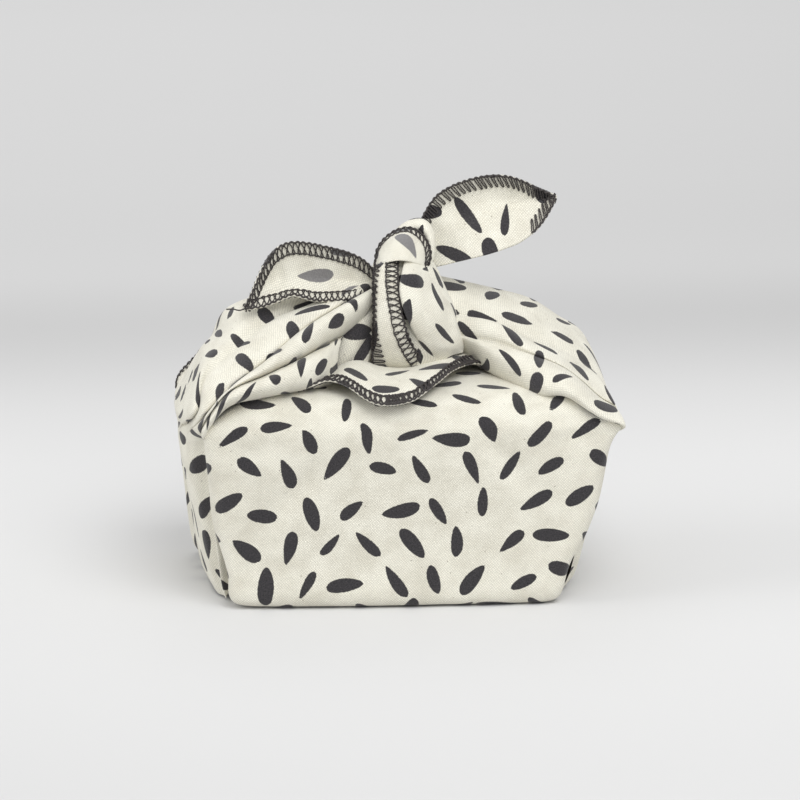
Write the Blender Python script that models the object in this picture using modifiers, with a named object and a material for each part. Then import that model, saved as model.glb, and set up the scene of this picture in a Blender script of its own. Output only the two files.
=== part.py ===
"""A furoshiki wrap: one square of printed cotton, wrapped round a tapered box and tied on top.

The whole bundle is one solid of one cloth: the front and back of the cloth make the core, the left
and right corners make two pleated wings that rise to the knot, and what is left of those corners
makes the knot and its two ears. Sizes are in millimetres and are turned to metres at the end.
+X is to the right, -Y is the front, +Z is up, and the origin is the middle of the flat base.
"""

import math

import bpy
from mathutils import Vector

MM = 0.001
CLOTH_THICK = 2.0          # a double layer of cloth at the free edges
SINK = 12.0                # how far a wing's inner side lies inside the core
PLEAT_FULLNESS = 1.1       # 1 makes a pleat half an ellipse; above that its sides slope into the creases

# The box inside, as the cloth shows it. A row for each height: the x of the four corners,
# the y of the front and the back, and the radius of the upright edges.
BOX_COLUMNS = ("z", "front_left", "front_right", "back_left", "back_right", "front", "back", "radius")
BOX_ROWS = (
    (0.0, -73.5, 62.0, -78.5, 61.0, -46.0, 40.0, 10.0),
    (1.2, -75.5, 64.5, -81.5, 63.5, -47.8, 42.5, 11.0),
    (4.5, -76.5, 66.5, -84.0, 65.5, -48.8, 43.5, 12.0),
    (12.0, -77.0, 68.3, -85.0, 67.3, -49.5, 44.3, 12.0),
    (22.0, -77.8, 70.8, -86.0, 69.8, -50.4, 45.2, 12.0),
    (37.0, -79.5, 75.0, -87.0, 73.5, -51.5, 46.5, 12.0),
    (52.0, -81.0, 79.0, -88.5, 77.5, -54.0, 48.0, 11.0),
    (65.0, -82.0, 81.5, -88.5, 80.0, -56.0, 49.0, 10.0),
    (74.0, -82.5, 82.5, -88.0, 81.0, -57.5, 49.0, 10.0),
    (80.0, -79.0, 79.5, -84.0, 78.0, -56.5, 46.5, 12.0),
    (84.5, -72.0, 72.5, -77.0, 71.0, -52.0, 41.0, 16.0),
    (87.0, -62.0, 62.5, -66.0, 61.0, -44.0, 33.0, 20.0),
    (88.5, -44.0, 44.0, -47.0, 43.0, -29.0, 20.0, 18.0),
)
SIDE_POINTS = 12           # on each straight side of the box's outline
CORNER_POINTS = 5          # on each rounded corner
SIDE_BOW = 1.6             # how far the cloth stands out in the middle of a side

# The wings' fold lines, from the front edge to the back edge, valleys and crests in turn. A line
# runs up the end of the box, from its share of that end's width at the foot, and on through the
# corner of the box, the rise, the crown of the wing and the throat of the knot.
WING_COLUMNS = ("name", "foot_share", "corner", "rise", "crown", "throat")
LEFT_WING = (
    ("front edge", 0.00, (-82.5, -55.0, 72.0), (-73.0, -54.0, 84.5), (-43.0, -44.0, 89.0), (-8.0, -6.0, 90.0)),
    ("low fold", 0.08, (-85.0, -58.0, 75.5), (-72.5, -58.5, 87.5), (-42.0, -51.0, 96.5), (-8.0, -14.0, 97.0)),
    ("low crease", 0.16, (-83.5, -54.0, 78.5), (-72.5, -50.5, 91.0), (-43.5, -41.0, 100.0), (-8.0, -12.0, 105.0)),
    ("main fold", 0.27, (-86.0, -51.5, 81.5), (-70.5, -49.5, 96.0), (-40.0, -38.0, 110.5), (-8.0, -15.0, 116.0)),
    ("main crease", 0.36, (-84.0, -45.5, 82.0), (-72.0, -40.5, 95.5), (-44.0, -29.0, 110.0), (-8.0, -8.0, 121.0)),
    ("upper fold", 0.45, (-86.5, -40.0, 83.5), (-71.0, -35.5, 99.5), (-43.5, -24.5, 115.5), (-8.0, -5.5, 126.0)),
    ("upper crease", 0.54, (-86.0, -29.0, 81.5), (-73.0, -25.5, 99.0), (-45.0, -16.0, 116.0), (-8.0, -1.0, 127.0)),
    ("ridge", 0.70, (-88.0, 4.0, 80.0), (-75.0, 2.0, 104.0), (-56.0, 2.0, 118.5), (-8.0, 4.0, 131.0)),
    ("back crease", 0.80, (-87.5, 25.0, 78.0), (-76.0, 22.0, 94.0), (-48.0, 18.0, 110.0), (-8.0, 8.0, 122.0)),
    ("back fold", 0.90, (-90.5, 42.0, 76.0), (-78.0, 40.0, 88.5), (-43.0, 31.0, 102.0), (-8.0, 14.0, 113.0)),
    ("back edge", 1.00, (-86.0, 47.0, 72.0), (-73.5, 46.5, 84.0), (-39.0, 37.0, 88.5), (-8.0, 16.0, 90.0)),
)
RIGHT_WING = (
    ("front edge", 0.00, (84.0, -57.0, 73.0), (70.0, -56.0, 84.0), (48.0, -44.5, 88.5), (14.0, -8.0, 90.0)),
    ("front panel", 0.14, (85.5, -57.0, 77.5), (72.0, -48.0, 91.0), (46.0, -33.0, 99.5), (14.0, -14.0, 108.0)),
    ("long crease", 0.34, (84.5, -34.0, 79.5), (74.0, -26.0, 93.0), (47.0, -15.0, 104.5), (14.0, -7.0, 115.0)),
    ("ridge", 0.60, (85.5, 8.0, 76.5), (79.0, 13.0, 94.5), (52.0, 11.0, 112.0), (12.0, 1.0, 129.0)),
    ("back crease", 0.80, (84.0, 28.0, 77.0), (75.0, 29.5, 92.0), (46.0, 23.0, 104.0), (12.0, 6.0, 121.0)),
    ("back fold", 0.90, (84.5, 45.0, 77.0), (72.0, 43.0, 90.5), (42.0, 32.0, 100.0), (12.0, 12.0, 112.0)),
    ("back edge", 1.00, (82.0, 47.5, 73.0), (69.0, 46.5, 84.5), (40.0, 37.0, 88.5), (12.0, 18.0, 89.5)),
)
# How far a wing's crests, creases and two edges stand out of the end of the box. A row for each height.
WALL_COLUMNS = ("z", "crest", "crease", "edge")
WALL_ROWS = ((1.0, 0.9, 0.4, -1.0), (9.0, 2.0, 0.4, -1.0), (34.0, 2.7, 0.5, -1.0), (54.0, 2.9, 0.5, -1.0))
PLEAT_STEPS = 8                             # faces across a pleat, from valley to valley
WING_STEPS = 26                             # faces along a wing

# The cloth's back corner, brought forward over the top: its two hems from the tip to the back.
FLAP_COLUMNS = ("y", "left", "right", "height")
FLAP_ROWS = (
    (-59.5, -13.5, -8.5, 84.6),
    (-57.0, -16.5, -4.0, 87.0),
    (-51.0, -20.0, 3.0, 88.8),
    (-41.0, -25.0, 10.5, 90.0),
    (-28.0, -31.0, 20.0, 91.0),
    (-12.0, -42.0, 32.0, 91.3),
    (8.0, -58.0, 48.0, 91.0),
)
FLAP_STEPS = 16
FLAP_SINK = Vector((0.0, 12.0, -5.0))     # from the flap's top to its inner side, in the core

# The knot's body, which hangs from the throat down to the flap. A row for each height.
POUCH_COLUMNS = ("z", "left", "right", "front", "back")
POUCH_ROWS = (
    (86.0, -5.0, 8.0, -17.0, 8.0),
    (88.5, -9.0, 15.5, -23.0, 13.0),
    (93.0, -11.2, 21.5, -26.5, 17.0),
    (99.0, -12.2, 25.5, -28.5, 19.0),
    (106.0, -12.4, 25.0, -28.8, 19.5),
    (114.0, -12.4, 22.0, -27.5, 18.5),
    (123.0, -12.2, 18.0, -24.5, 16.0),
    (131.0, -11.5, 14.5, -20.5, 13.0),
    (137.0, -9.0, 11.0, -14.0, 9.0),
)
POUCH_SHAPE = 0.85
ROUND_POINTS = 32

# Tubes of cloth in the knot. A row for each station: the middle of the tube, its half height or
# half width across, and its half depth from front to back.
TUBE_COLUMNS = ("x", "y", "z", "across", "deep")
BAND = (
    (-5.5, -12.0, 136.0, 6.5, 4.0),
    (-5.5, -20.5, 126.0, 6.8, 4.0),
    (-4.8, -24.5, 112.0, 6.8, 4.5),
    (-2.8, -25.0, 100.0, 7.0, 4.5),
    (0.2, -20.5, 90.5, 7.4, 4.0),
    (2.5, -12.0, 85.5, 7.0, 3.5),
)
HOOD = (
    (-9.0, 1.0, 126.0, 3.5, 9.0),
    (-8.0, 0.0, 133.0, 5.0, 13.5),
    (-3.8, -2.0, 138.3, 7.2, 16.5),
    (2.5, -3.0, 139.8, 7.6, 17.5),
    (8.5, -2.5, 138.0, 7.2, 16.5),
    (12.0, -0.5, 132.0, 5.2, 13.5),
    (12.8, 1.0, 125.5, 3.8, 9.0),
)
ROLL = (
    (-1.0, 6.0, 139.0, 4.5, 7.0),
    (4.0, 5.0, 143.0, 5.5, 7.5),
    (10.0, 3.0, 145.0, 7.0, 7.5),
    (16.0, 1.0, 146.0, 8.0, 6.5),
    (22.0, -1.0, 147.0, 7.0, 4.0),
)
TUCK = (
    (-38.0, -30.0, 96.0, 6.0, 6.0),
    (-30.0, -27.0, 98.0, 8.0, 5.5),
    (-22.0, -21.0, 101.0, 10.0, 5.5),
    (-13.0, -13.0, 104.0, 12.0, 6.0),
    (-4.0, -8.0, 106.0, 12.0, 6.0),
)

# The ears: a row for each station from the knot to the tip, with the upper hem, the hollow
# of the leaf and the lower edge.
EAR_COLUMNS = ("upper", "hollow", "lower")
LEFT_EAR = (
    ((-6.0, -4.0, 130.5), (-6.0, -1.0, 126.0), (-6.0, -7.0, 121.0)),
    ((-14.0, -7.0, 131.5), (-14.0, -1.0, 127.0), (-15.0, -13.0, 121.5)),
    ((-24.0, -9.0, 136.5), (-24.0, 1.0, 129.5), (-28.0, -17.0, 122.5)),
    ((-35.0, -11.0, 141.0), (-34.0, 2.0, 132.0), (-41.0, -21.0, 123.5)),
    ((-45.0, -13.0, 143.5), (-44.0, -1.0, 133.0), (-51.0, -23.0, 122.0)),
    ((-53.0, -16.0, 139.0), (-53.0, -8.0, 130.0), (-57.0, -24.0, 120.0)),
    ((-60.0, -20.5, 129.5), (-60.5, -20.8, 124.5), (-61.5, -24.0, 118.8)),
    ((-64.3, -23.2, 122.5), (-64.2, -23.8, 120.0), (-64.4, -24.5, 117.6)),
)
RIGHT_EAR = (
    ((7.0, 3.0, 147.0), (7.0, 6.0, 141.0), (7.0, -1.0, 133.0)),
    ((13.0, 2.0, 155.0), (16.0, 7.0, 147.0), (19.0, -5.0, 133.5)),
    ((22.0, 0.0, 163.0), (26.0, 7.0, 152.0), (31.0, -8.0, 135.5)),
    ((35.0, -2.0, 167.0), (38.0, 5.0, 155.0), (42.0, -9.0, 138.5)),
    ((47.0, -2.5, 166.0), (48.0, 3.0, 156.0), (50.5, -8.0, 143.0)),
    ((57.0, -2.5, 162.5), (57.0, 0.0, 156.5), (57.5, -5.5, 149.5)),
    ((64.5, -2.5, 159.5), (64.0, -1.8, 157.5), (63.5, -3.0, 155.5)),
)
EAR_STEPS_ALONG = 20
EAR_STEPS_ACROSS = 10

CLOTH_COLOUR = (0.83, 0.80, 0.69, 1.0)
CLOTH_ROUGHNESS = 0.92


def clear_scene():
    for old in list(bpy.data.objects):
        bpy.data.objects.remove(old)


def new_collection(name):
    made = bpy.data.collections.new(name)
    bpy.context.scene.collection.children.link(made)
    return made


def cotton():
    made = bpy.data.materials.new("printed cotton")
    made.use_nodes = True
    shader = made.node_tree.nodes["Principled BSDF"]
    shader.inputs["Base Color"].default_value = CLOTH_COLOUR
    shader.inputs["Roughness"].default_value = CLOTH_ROUGHNESS
    shader.inputs["Metallic"].default_value = 0.0
    return made


def along(points, share):
    """The point at that share of the smooth curve through the points (Catmull-Rom)."""
    last = len(points) - 1
    place = min(max(share, 0.0), 1.0) * last
    i = min(int(place), last - 1)
    t = place - i
    p1, p2 = points[i], points[i + 1]
    p0 = points[i - 1] if i > 0 else 2 * p1 - p2
    p3 = points[i + 2] if i + 2 <= last else 2 * p2 - p1
    return 0.5 * (2 * p1 + (p2 - p0) * t + (2 * p0 - 5 * p1 + 4 * p2 - p3) * t**2
                  + (3 * p1 - p0 - 3 * p2 + p3) * t**3)


def named(columns, row):
    return dict(zip(columns, row))


def grid_object(name, rows, ring, collection, capped=True):
    """A mesh over rows of points. With ring, each row is a closed loop and the ends get caps."""
    count = len(rows[0])
    points = [tuple(p * MM) for row in rows for p in row]
    faces = []
    for r in range(len(rows) - 1):
        for c in range(count if ring else count - 1):
            a, b = r * count + c, r * count + (c + 1) % count
            faces.append((a, b, b + count, a + count))
    if ring and capped:
        faces.append(tuple(reversed(range(count))))
        faces.append(tuple(range((len(rows) - 1) * count, len(rows) * count)))
    mesh = bpy.data.meshes.new(name)
    mesh.from_pydata(points, [], faces)
    mesh.validate()
    made = bpy.data.objects.new(name, mesh)
    collection.objects.link(made)
    return made


# ---------------------------------------------------------------------------- the core

def box_row(z):
    """The box's outline values at a height, read smoothly between its rows."""
    for low, high in zip(BOX_ROWS, BOX_ROWS[1:]):
        if z <= high[0]:
            t = (z - low[0]) / (high[0] - low[0])
            return named(BOX_COLUMNS, [a + (b - a) * t for a, b in zip(low, high)])
    return named(BOX_COLUMNS, BOX_ROWS[-1])


def box_outline(row):
    """The rounded outline at one height, as a loop that runs anticlockwise seen from above."""
    corners = (
        Vector((row["front_left"], row["front"], row["z"])),
        Vector((row["front_right"], row["front"], row["z"])),
        Vector((row["back_right"], row["back"], row["z"])),
        Vector((row["back_left"], row["back"], row["z"])),
    )
    loop = []
    for i, corner in enumerate(corners):
        into = (corner - corners[i - 1]).normalized()
        out = (corners[(i + 1) % 4] - corner).normalized()
        start, end = corner - into * row["radius"], corner + out * row["radius"]
        for k in range(CORNER_POINTS):
            t = k / (CORNER_POINTS - 1)
            loop.append(start * (1 - t) ** 2 + corner * (2 * t * (1 - t)) + end * t**2)
        next_corner = corners[(i + 1) % 4]
        finish = next_corner - out * row["radius"]
        sideways = Vector((out.y, -out.x, 0.0))
        for k in range(1, SIDE_POINTS):
            t = k / SIDE_POINTS
            loop.append(end.lerp(finish, t) + sideways * (SIDE_BOW * math.sin(math.pi * t)))
    return loop


def make_core(collection):
    rows = [box_outline(named(BOX_COLUMNS, row)) for row in BOX_ROWS]
    return grid_object("core", rows, True, collection)


# ---------------------------------------------------------------------------- the wings

def wall_point(side, share, z, proud):
    """A point on the end of the box: share 0 is at its front edge and 1 at its back edge."""
    row = box_row(z)
    word = "left" if side < 0 else "right"
    inset = row["radius"] * 0.45
    front = Vector((row["front_" + word], row["front"] + inset, z))
    back = Vector((row["back_" + word], row["back"] - inset, z))
    bow = SIDE_BOW * math.sin(math.pi * share)
    return front.lerp(back, share) + Vector((side * (proud + bow), 0.0, 0.0))


def wing_lines(side, table):
    lines = []
    for number, values in enumerate(table):
        row = named(WING_COLUMNS, values)
        kind = "crest" if number % 2 else "edge" if number in (0, len(table) - 1) else "crease"
        heights = [named(WALL_COLUMNS, wall_row) for wall_row in WALL_ROWS]
        wall = [wall_point(side, row["foot_share"], at["z"], at[kind]) for at in heights]
        lines.append(wall + [Vector(row[c]) for c in WING_COLUMNS[2:]])
    return lines


def pleat(valley, crest, next_valley, t):
    """A point of the arch from one valley over the crest to the next valley, t from 0 to 1."""
    middle, half = (valley + next_valley) / 2, (next_valley - valley) / 2
    turn = math.pi * t
    return middle - half * math.cos(turn) + (crest - middle) * math.sin(turn) ** PLEAT_FULLNESS


def wing_section(lines, share):
    at = [along(line, share) for line in lines]
    arch = [at[0]]
    for i in range(0, len(at) - 2, 2):
        for k in range(1, PLEAT_STEPS + 1):
            arch.append(pleat(at[i], at[i + 1], at[i + 2], k / PLEAT_STEPS))
    heart = Vector((0.0, 0.0, 45.0))
    inner = [p + (heart - p).normalized() * SINK for p in (at[-1], (at[0] + at[-1]) / 2, at[0])]
    return arch + inner


def make_wing(name, side, table, collection):
    lines = wing_lines(side, table)
    rows = [wing_section(lines, k / WING_STEPS) for k in range(WING_STEPS + 1)]
    if side < 0:
        rows = [list(reversed(row)) for row in rows]
    return grid_object(name, rows, True, collection)


# ---------------------------------------------------------------------------- the flap

def make_flap(collection):
    ends = [named(FLAP_COLUMNS, row) for row in FLAP_ROWS]
    left = [Vector((e["left"], e["y"], e["height"])) for e in ends]
    right = [Vector((e["right"], e["y"], e["height"])) for e in ends]
    rows = []
    for k in range(FLAP_STEPS + 1):
        a, b = along(left, k / FLAP_STEPS), along(right, k / FLAP_STEPS)
        top = [a.lerp(b, i / FLAP_STEPS) for i in range(FLAP_STEPS + 1)]
        rows.append(top + [p + FLAP_SINK for p in reversed(top)])
    return grid_object("flap", rows, True, collection)


# ---------------------------------------------------------------------------- the knot

def squared(angle, power):
    """Cosine and sine of the angle, drawn towards a square with a power under 1."""
    c, s = math.cos(angle), math.sin(angle)
    return math.copysign(abs(c) ** power, c), math.copysign(abs(s) ** power, s)


def make_pouch(collection):
    rows = []
    for values in POUCH_ROWS:
        row = named(POUCH_COLUMNS, values)
        cx, cy = (row["left"] + row["right"]) / 2, (row["front"] + row["back"]) / 2
        loop = []
        for k in range(ROUND_POINTS):
            c, s = squared(2 * math.pi * k / ROUND_POINTS, POUCH_SHAPE)
            loop.append(Vector((cx + c * (row["right"] - cx), cy + s * (row["back"] - cy), row["z"])))
        rows.append(loop)
    return grid_object("pouch", rows, True, collection)


def make_tube(name, table, collection, steps=14):
    """A tube of cloth along the table's stations, flattened as across and deep say."""
    rows = [named(TUBE_COLUMNS, values) for values in table]
    middle = [Vector((r["x"], r["y"], r["z"])) for r in rows]
    sizes = [Vector((r["across"], r["deep"], 0.0)) for r in rows]
    loops = []
    for k in range(steps + 1):
        share = k / steps
        here, size = along(middle, share), along(sizes, share)
        step = 0.5 / steps
        forward = (along(middle, min(share + step, 1.0)) - along(middle, max(share - step, 0.0))).normalized()
        across = Vector((0.0, 1.0, 0.0)).cross(forward).normalized()
        deep = forward.cross(across)
        loop = []
        for i in range(ROUND_POINTS // 2):
            turn = 4 * math.pi * i / ROUND_POINTS
            loop.append(here + across * (size.x * math.cos(turn)) + deep * (size.y * math.sin(turn)))
        loops.append(loop)
    return grid_object(name, loops, True, collection)


def make_ear(name, table, collection):
    rows = [named(EAR_COLUMNS, values) for values in table]
    upper, hollow, lower = ([Vector(r[c]) for r in rows] for c in EAR_COLUMNS)
    grid = []
    for k in range(EAR_STEPS_ALONG + 1):
        share = k / EAR_STEPS_ALONG
        across = [along(upper, share), along(hollow, share), along(lower, share)]
        grid.append([along(across, i / EAR_STEPS_ACROSS) for i in range(EAR_STEPS_ACROSS + 1)])
    made = grid_object(name, grid, False, collection)
    thick = made.modifiers.new("thickness", "SOLIDIFY")
    thick.thickness = CLOTH_THICK * MM
    thick.offset = 0.0
    thick.use_quality_normals = True
    return made


# ---------------------------------------------------------------------------- the bundle

def main():
    clear_scene()
    shown = new_collection("furoshiki wrap")
    hidden = new_collection("forms joined into the cloth")
    cloth = make_core(shown)
    cloth.name = "furoshiki_cloth"
    cloth.data.materials.append(cotton())
    forms = [
        make_wing("left wing", -1, LEFT_WING, hidden),
        make_wing("right wing", 1, RIGHT_WING, hidden),
        make_flap(hidden),
        make_pouch(hidden),
        make_tube("band", BAND, hidden),
        make_tube("hood", HOOD, hidden),
        make_tube("roll", ROLL, hidden),
        make_tube("tuck", TUCK, hidden),
        make_ear("left ear", LEFT_EAR, hidden),
        make_ear("right ear", RIGHT_EAR, hidden),
    ]
    for form in forms:
        form.hide_render = True
        form.display_type = "WIRE"
        join = cloth.modifiers.new("join " + form.name, "BOOLEAN")
        join.operation = "UNION"
        join.solver = "EXACT"
        join.object = form


main()
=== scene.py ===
"""Looks of a furoshiki wrap: a square of printed cotton, wrapped round a box and tied on top.

The cloth is laid over the solid as thin sheets: the body with its front and back panels, two gathered
wings, the corner flap, the knot and its two ears. Each sheet is a grid of points in millimetres,
with its own place on the flat cloth, so the print and the weave keep their real size in every fold.
"""

import math

import bpy
import numpy as np
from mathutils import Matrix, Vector

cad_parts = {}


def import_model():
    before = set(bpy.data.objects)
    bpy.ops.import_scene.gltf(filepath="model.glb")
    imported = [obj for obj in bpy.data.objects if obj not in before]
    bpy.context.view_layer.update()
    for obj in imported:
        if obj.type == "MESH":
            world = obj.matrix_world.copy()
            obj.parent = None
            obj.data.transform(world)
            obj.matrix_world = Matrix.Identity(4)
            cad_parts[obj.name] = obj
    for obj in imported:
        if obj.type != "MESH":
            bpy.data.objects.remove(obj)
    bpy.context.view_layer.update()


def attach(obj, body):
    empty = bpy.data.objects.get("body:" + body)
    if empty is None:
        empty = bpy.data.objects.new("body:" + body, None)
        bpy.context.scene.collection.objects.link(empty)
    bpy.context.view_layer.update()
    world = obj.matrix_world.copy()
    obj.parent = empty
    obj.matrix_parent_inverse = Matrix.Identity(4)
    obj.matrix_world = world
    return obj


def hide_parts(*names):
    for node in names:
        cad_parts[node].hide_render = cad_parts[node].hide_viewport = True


MM = 0.001
NODE = "furoshiki_cloth"
CLOTH_THICK = 0.7                       # one layer of plain cotton, in mm

# ------------------------------------------------------------------------------ sizes of the folds

# The cloth over the box at some heights: where its ends, front and back are, and how round its corners.
BOX_COLUMNS = ("z", "front_left", "front_right", "back_left", "back_right", "front", "back", "radius")
BOX_ROWS = (
    (0.0, -73.5, 62.0, -78.5, 61.0, -46.0, 40.0, 10.0),
    (1.2, -75.5, 64.5, -81.5, 63.5, -47.8, 42.5, 11.0),
    (4.5, -76.5, 66.5, -84.0, 65.5, -48.8, 43.5, 12.0),
    (12.0, -77.0, 68.3, -85.0, 67.3, -49.5, 44.3, 12.0),
    (22.0, -77.8, 70.8, -86.0, 69.8, -50.4, 45.2, 12.0),
    (37.0, -79.5, 75.0, -87.0, 73.5, -51.5, 46.5, 12.0),
    (52.0, -81.0, 79.0, -88.5, 77.5, -54.0, 48.0, 11.0),
    (65.0, -82.0, 81.5, -88.5, 80.0, -56.0, 49.0, 10.0),
    (74.0, -82.5, 82.5, -88.0, 81.0, -57.5, 49.0, 10.0),
    (80.0, -79.0, 79.5, -84.0, 78.0, -56.5, 46.5, 12.0),
    (84.5, -72.0, 72.5, -77.0, 71.0, -52.0, 41.0, 16.0),
    (87.0, -62.0, 62.5, -66.0, 61.0, -44.0, 33.0, 20.0),
    (88.5, -44.0, 44.0, -47.0, 43.0, -29.0, 20.0, 18.0),
)
SIDE_BOW = 1.6                          # how far the middle of a side stands out

# The front panel's own outline: its folded sides stand a little proud of the ends, with a groove behind.
PANEL_COLUMNS = ("z", "left", "right", "front_left", "front_right", "radius", "left_groove", "right_groove")
PANEL_ROWS = (
    (0.0, -65.0, 52.5, -42.5, -48.0, 9.0, 0.0, 0.0),
    (0.5, -69.8, 56.9, -49.2, -54.7, 8.0, 1.0, 0.5),
    (2.2, -73.2, 59.7, -52.6, -57.6, 7.0, 3.0, 1.5),
    (6.0, -74.9, 61.3, -54.0, -58.6, 6.0, 4.5, 2.5),
    (12.0, -75.0, 62.8, -53.8, -58.2, 6.0, 6.5, 3.0),
    (18.0, -76.0, 65.2, -53.4, -57.8, 7.0, 7.0, 3.0),
    (25.0, -78.0, 69.6, -53.5, -57.3, 8.0, 7.0, 2.0),
    (33.0, -80.3, 73.2, -53.9, -57.0, 8.5, 6.0, 1.5),
    (42.0, -81.6, 76.2, -54.4, -56.9, 8.5, 5.0, 1.5),
    (52.0, -82.3, 78.1, -55.1, -57.0, 8.0, 4.0, 1.5),
    (63.0, -83.5, 79.6, -56.0, -57.0, 5.5, 3.0, 1.5),
    (69.0, -84.1, 81.6, -56.4, -57.1, 3.5, 1.5, 1.0),
    (74.0, -84.8, 84.9, -56.4, -56.9, 2.5, 1.5, 1.0),
    (77.0, -82.5, 82.6, -55.7, -55.8, 4.0, 1.0, 1.0),
    (81.0, -77.5, 77.5, -53.9, -53.9, 9.0, 0.0, 0.0),
    (85.0, -71.0, 71.5, -50.5, -50.5, 14.0, 0.0, 0.0),
    (87.5, -62.0, 62.5, -44.0, -44.0, 18.0, 0.0, 0.0),
    (89.0, -44.0, 44.0, -29.0, -29.0, 18.0, 0.0, 0.0),
)

# A wing is gathered from the base, up the end of the bundle, through the pinched corner to the knot.
# A row for each line of a fold, from front to back: creases and crests take turns. "share" is its
# place across the end, and "proud" how far it stands off the box there at each of WALL_LEVELS, where
# the folds are still soft.
WALL_LEVELS = (1.0, 9.0, 34.0, 54.0, 67.0)
WING_COLUMNS = ("name", "share", "proud", "pinch", "rise", "shoulder", "run", "crown", "throat")
LEFT_WING = (
    ("under", 0.07, (-0.5, -5.0, -7.0, -6.0, -3.5),
     (-83.4, -54, 73.5), (-74, -50, 83.9), (-60.2, -46, 86.2),
     (-45.8, -42, 87.8), (-35.5, -34, 87.4), (-25.1, -22, 85.3)),
    ("low fold", 0.05, (-0.4, -0.2, 0.4, 0.6, 0.4),
     (-84.6, -59.5, 76.0), (-74.8, -59.2, 89.1), (-60.8, -56.5, 93.5),
     (-46.4, -51.5, 97.0), (-36.1, -43.5, 98.2), (-28.8, -33, 98.7)),
    ("low crease", 0.11, (-0.4, -1.2, -1.6, -0.8, 0.0),
     (-84.4, -54.5, 77.8), (-73.7, -48, 89.7), (-59.1, -42, 94.6),
     (-44.5, -35, 99.5), (-30.5, -24, 104), (-23, -15, 105)),
    ("main fold", 0.15, (1.2, 1.9, 3.6, 5.0, 4.4),
     (-84.9, -59, 80.4), (-74.2, -55.5, 92), (-59.8, -50, 99.2),
     (-44.8, -42, 107.1), (-29.7, -31, 114), (-12.6, -19, 119.9)),
    ("main crease", 0.22, (1.6, 2.6, 4.8, 6.8, 6.2),
     (-84.5, -52.5, 80.2), (-73.9, -47, 91.3), (-59.7, -38.5, 99.1),
     (-44.1, -28.5, 109.6), (-29.5, -20, 116.2), (-12.6, -10, 123)),
    ("upper fold", 0.29, (1.6, 2.6, 4.8, 6.8, 6.8),
     (-85.7, -55.5, 82.4), (-76.6, -49.5, 93.5), (-62.3, -39.5, 103.3),
     (-46.6, -29.5, 113.2), (-31.6, -20, 119.7), (-12.4, -8, 125.9)),
    ("upper crease", 0.37, (1.4, 2.4, 4.2, 6.2, 6.6),
     (-86.4, -49, 81.8), (-83.2, -40, 93.2), (-70.1, -30, 102.7),
     (-54.8, -20, 112.8), (-38.2, -12, 117.3), (-12, -3, 125.9)),
    ("ridge", 0.52, (1.2, 2.0, 3.6, 5.0, 5.6),
     (-93.3, -18, 78), (-84, -1, 95.5), (-77, 5, 102.5),
     (-70.3, 2, 114.6), (-50, 2, 121), (-8, 3, 130)),
    ("back crease", 0.80, (0.4, 0.4, 0.5, 0.8, 1.2),
     (-89.5, 34, 75), (-83.5, 34.5, 79.5), (-75.5, 33, 86),
     (-63, 26, 100), (-42, 16, 112), (-8, 8, 122)),
    ("back fold", 0.90, (0.9, 2.0, 2.7, 2.9, 2.7),
     (-90.6, 41.5, 75.5), (-84.9, 41.5, 83.0), (-76.3, 39.5, 90.4),
     (-62, 36, 98), (-40, 30, 103), (-8, 14, 113)),
    ("back edge", 1.00, (-1.0, -1.0, -1.0, -1.0, -1.0),
     (-87, 47.5, 71.5), (-80, 47.5, 79), (-70, 46, 85.5),
     (-56, 42, 88.5), (-34, 33, 89.5), (-8, 16, 90)),
)
RIGHT_WING = (
    ("under", 0.05, (-1.5, -1.5, -2.5, -2.0, -1.0),
     (83.6, -56.2, 74.4), (74.5, -51, 77.0), (62.4, -47, 84.6),
     (51.2, -40, 84.6), (38.4, -26, 88.2), (22, -8, 94)),
    ("front fold", 0.10, (0.4, 1.6, 0.8, 0.0, 0.3),
     (84.9, -58.0, 75.6), (74, -58.5, 81), (62.2, -55.5, 90),
     (50.1, -49.5, 91.2), (38.5, -35.5, 93.9), (21, -12, 100)),
    ("hollow", 0.18, (0.8, 1.0, 1.0, 0.8, 0.6),
     (83.3, -47, 78.5), (76.9, -43, 83.1), (64.3, -39, 93.7),
     (49.6, -33, 99.4), (34.2, -25, 103), (16, -14, 105.5)),
    ("long fold", 0.34, (1.2, 2.2, 2.8, 2.6, 2.0),
     (82.9, -40, 81), (77.2, -36, 87), (64.5, -32, 96),
     (49.6, -29, 103), (35.4, -23.5, 109.3), (15, -14, 111)),
    ("long crease", 0.46, (0.8, 1.2, 1.4, 1.0, 0.6),
     (82.4, -25, 81), (77.1, -21, 90.3), (65.3, -19, 96.9),
     (50.7, -19, 102.2), (35.4, -16, 108.8), (14, -10, 112)),
    ("ridge", 0.62, (0.9, 2.0, 2.7, 2.9, 3.0),
     (87.3, 6, 75.5), (80.5, 13, 95), (69.2, 14, 104),
     (56.1, 12, 112.6), (38.6, 8, 118), (14, 2, 124.4)),
    ("back crease", 0.80, (0.4, 0.8, 1.0, 1.0, 0.8),
     (86, 28, 76), (80, 29, 91), (67, 27, 98),
     (54, 24, 103), (36, 18, 112), (10, 8, 121)),
    ("back fold", 0.90, (0.9, 2.0, 2.7, 2.9, 2.9),
     (86.8, 43, 78), (80.5, 42, 92), (69, 40, 95.5),
     (54, 36, 98), (34, 28, 104), (9, 12, 112)),
    ("back edge", 1.00, (-1.0, -1.0, -1.0, -1.0, -1.0),
     (83, 48, 73), (77, 48, 82), (66, 47, 86),
     (50, 42, 88.5), (32, 33, 89.5), (9, 16, 90)),
)
PLEAT_FULLNESS = 0.78                   # 1 is a plain wave, less is fuller

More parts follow.
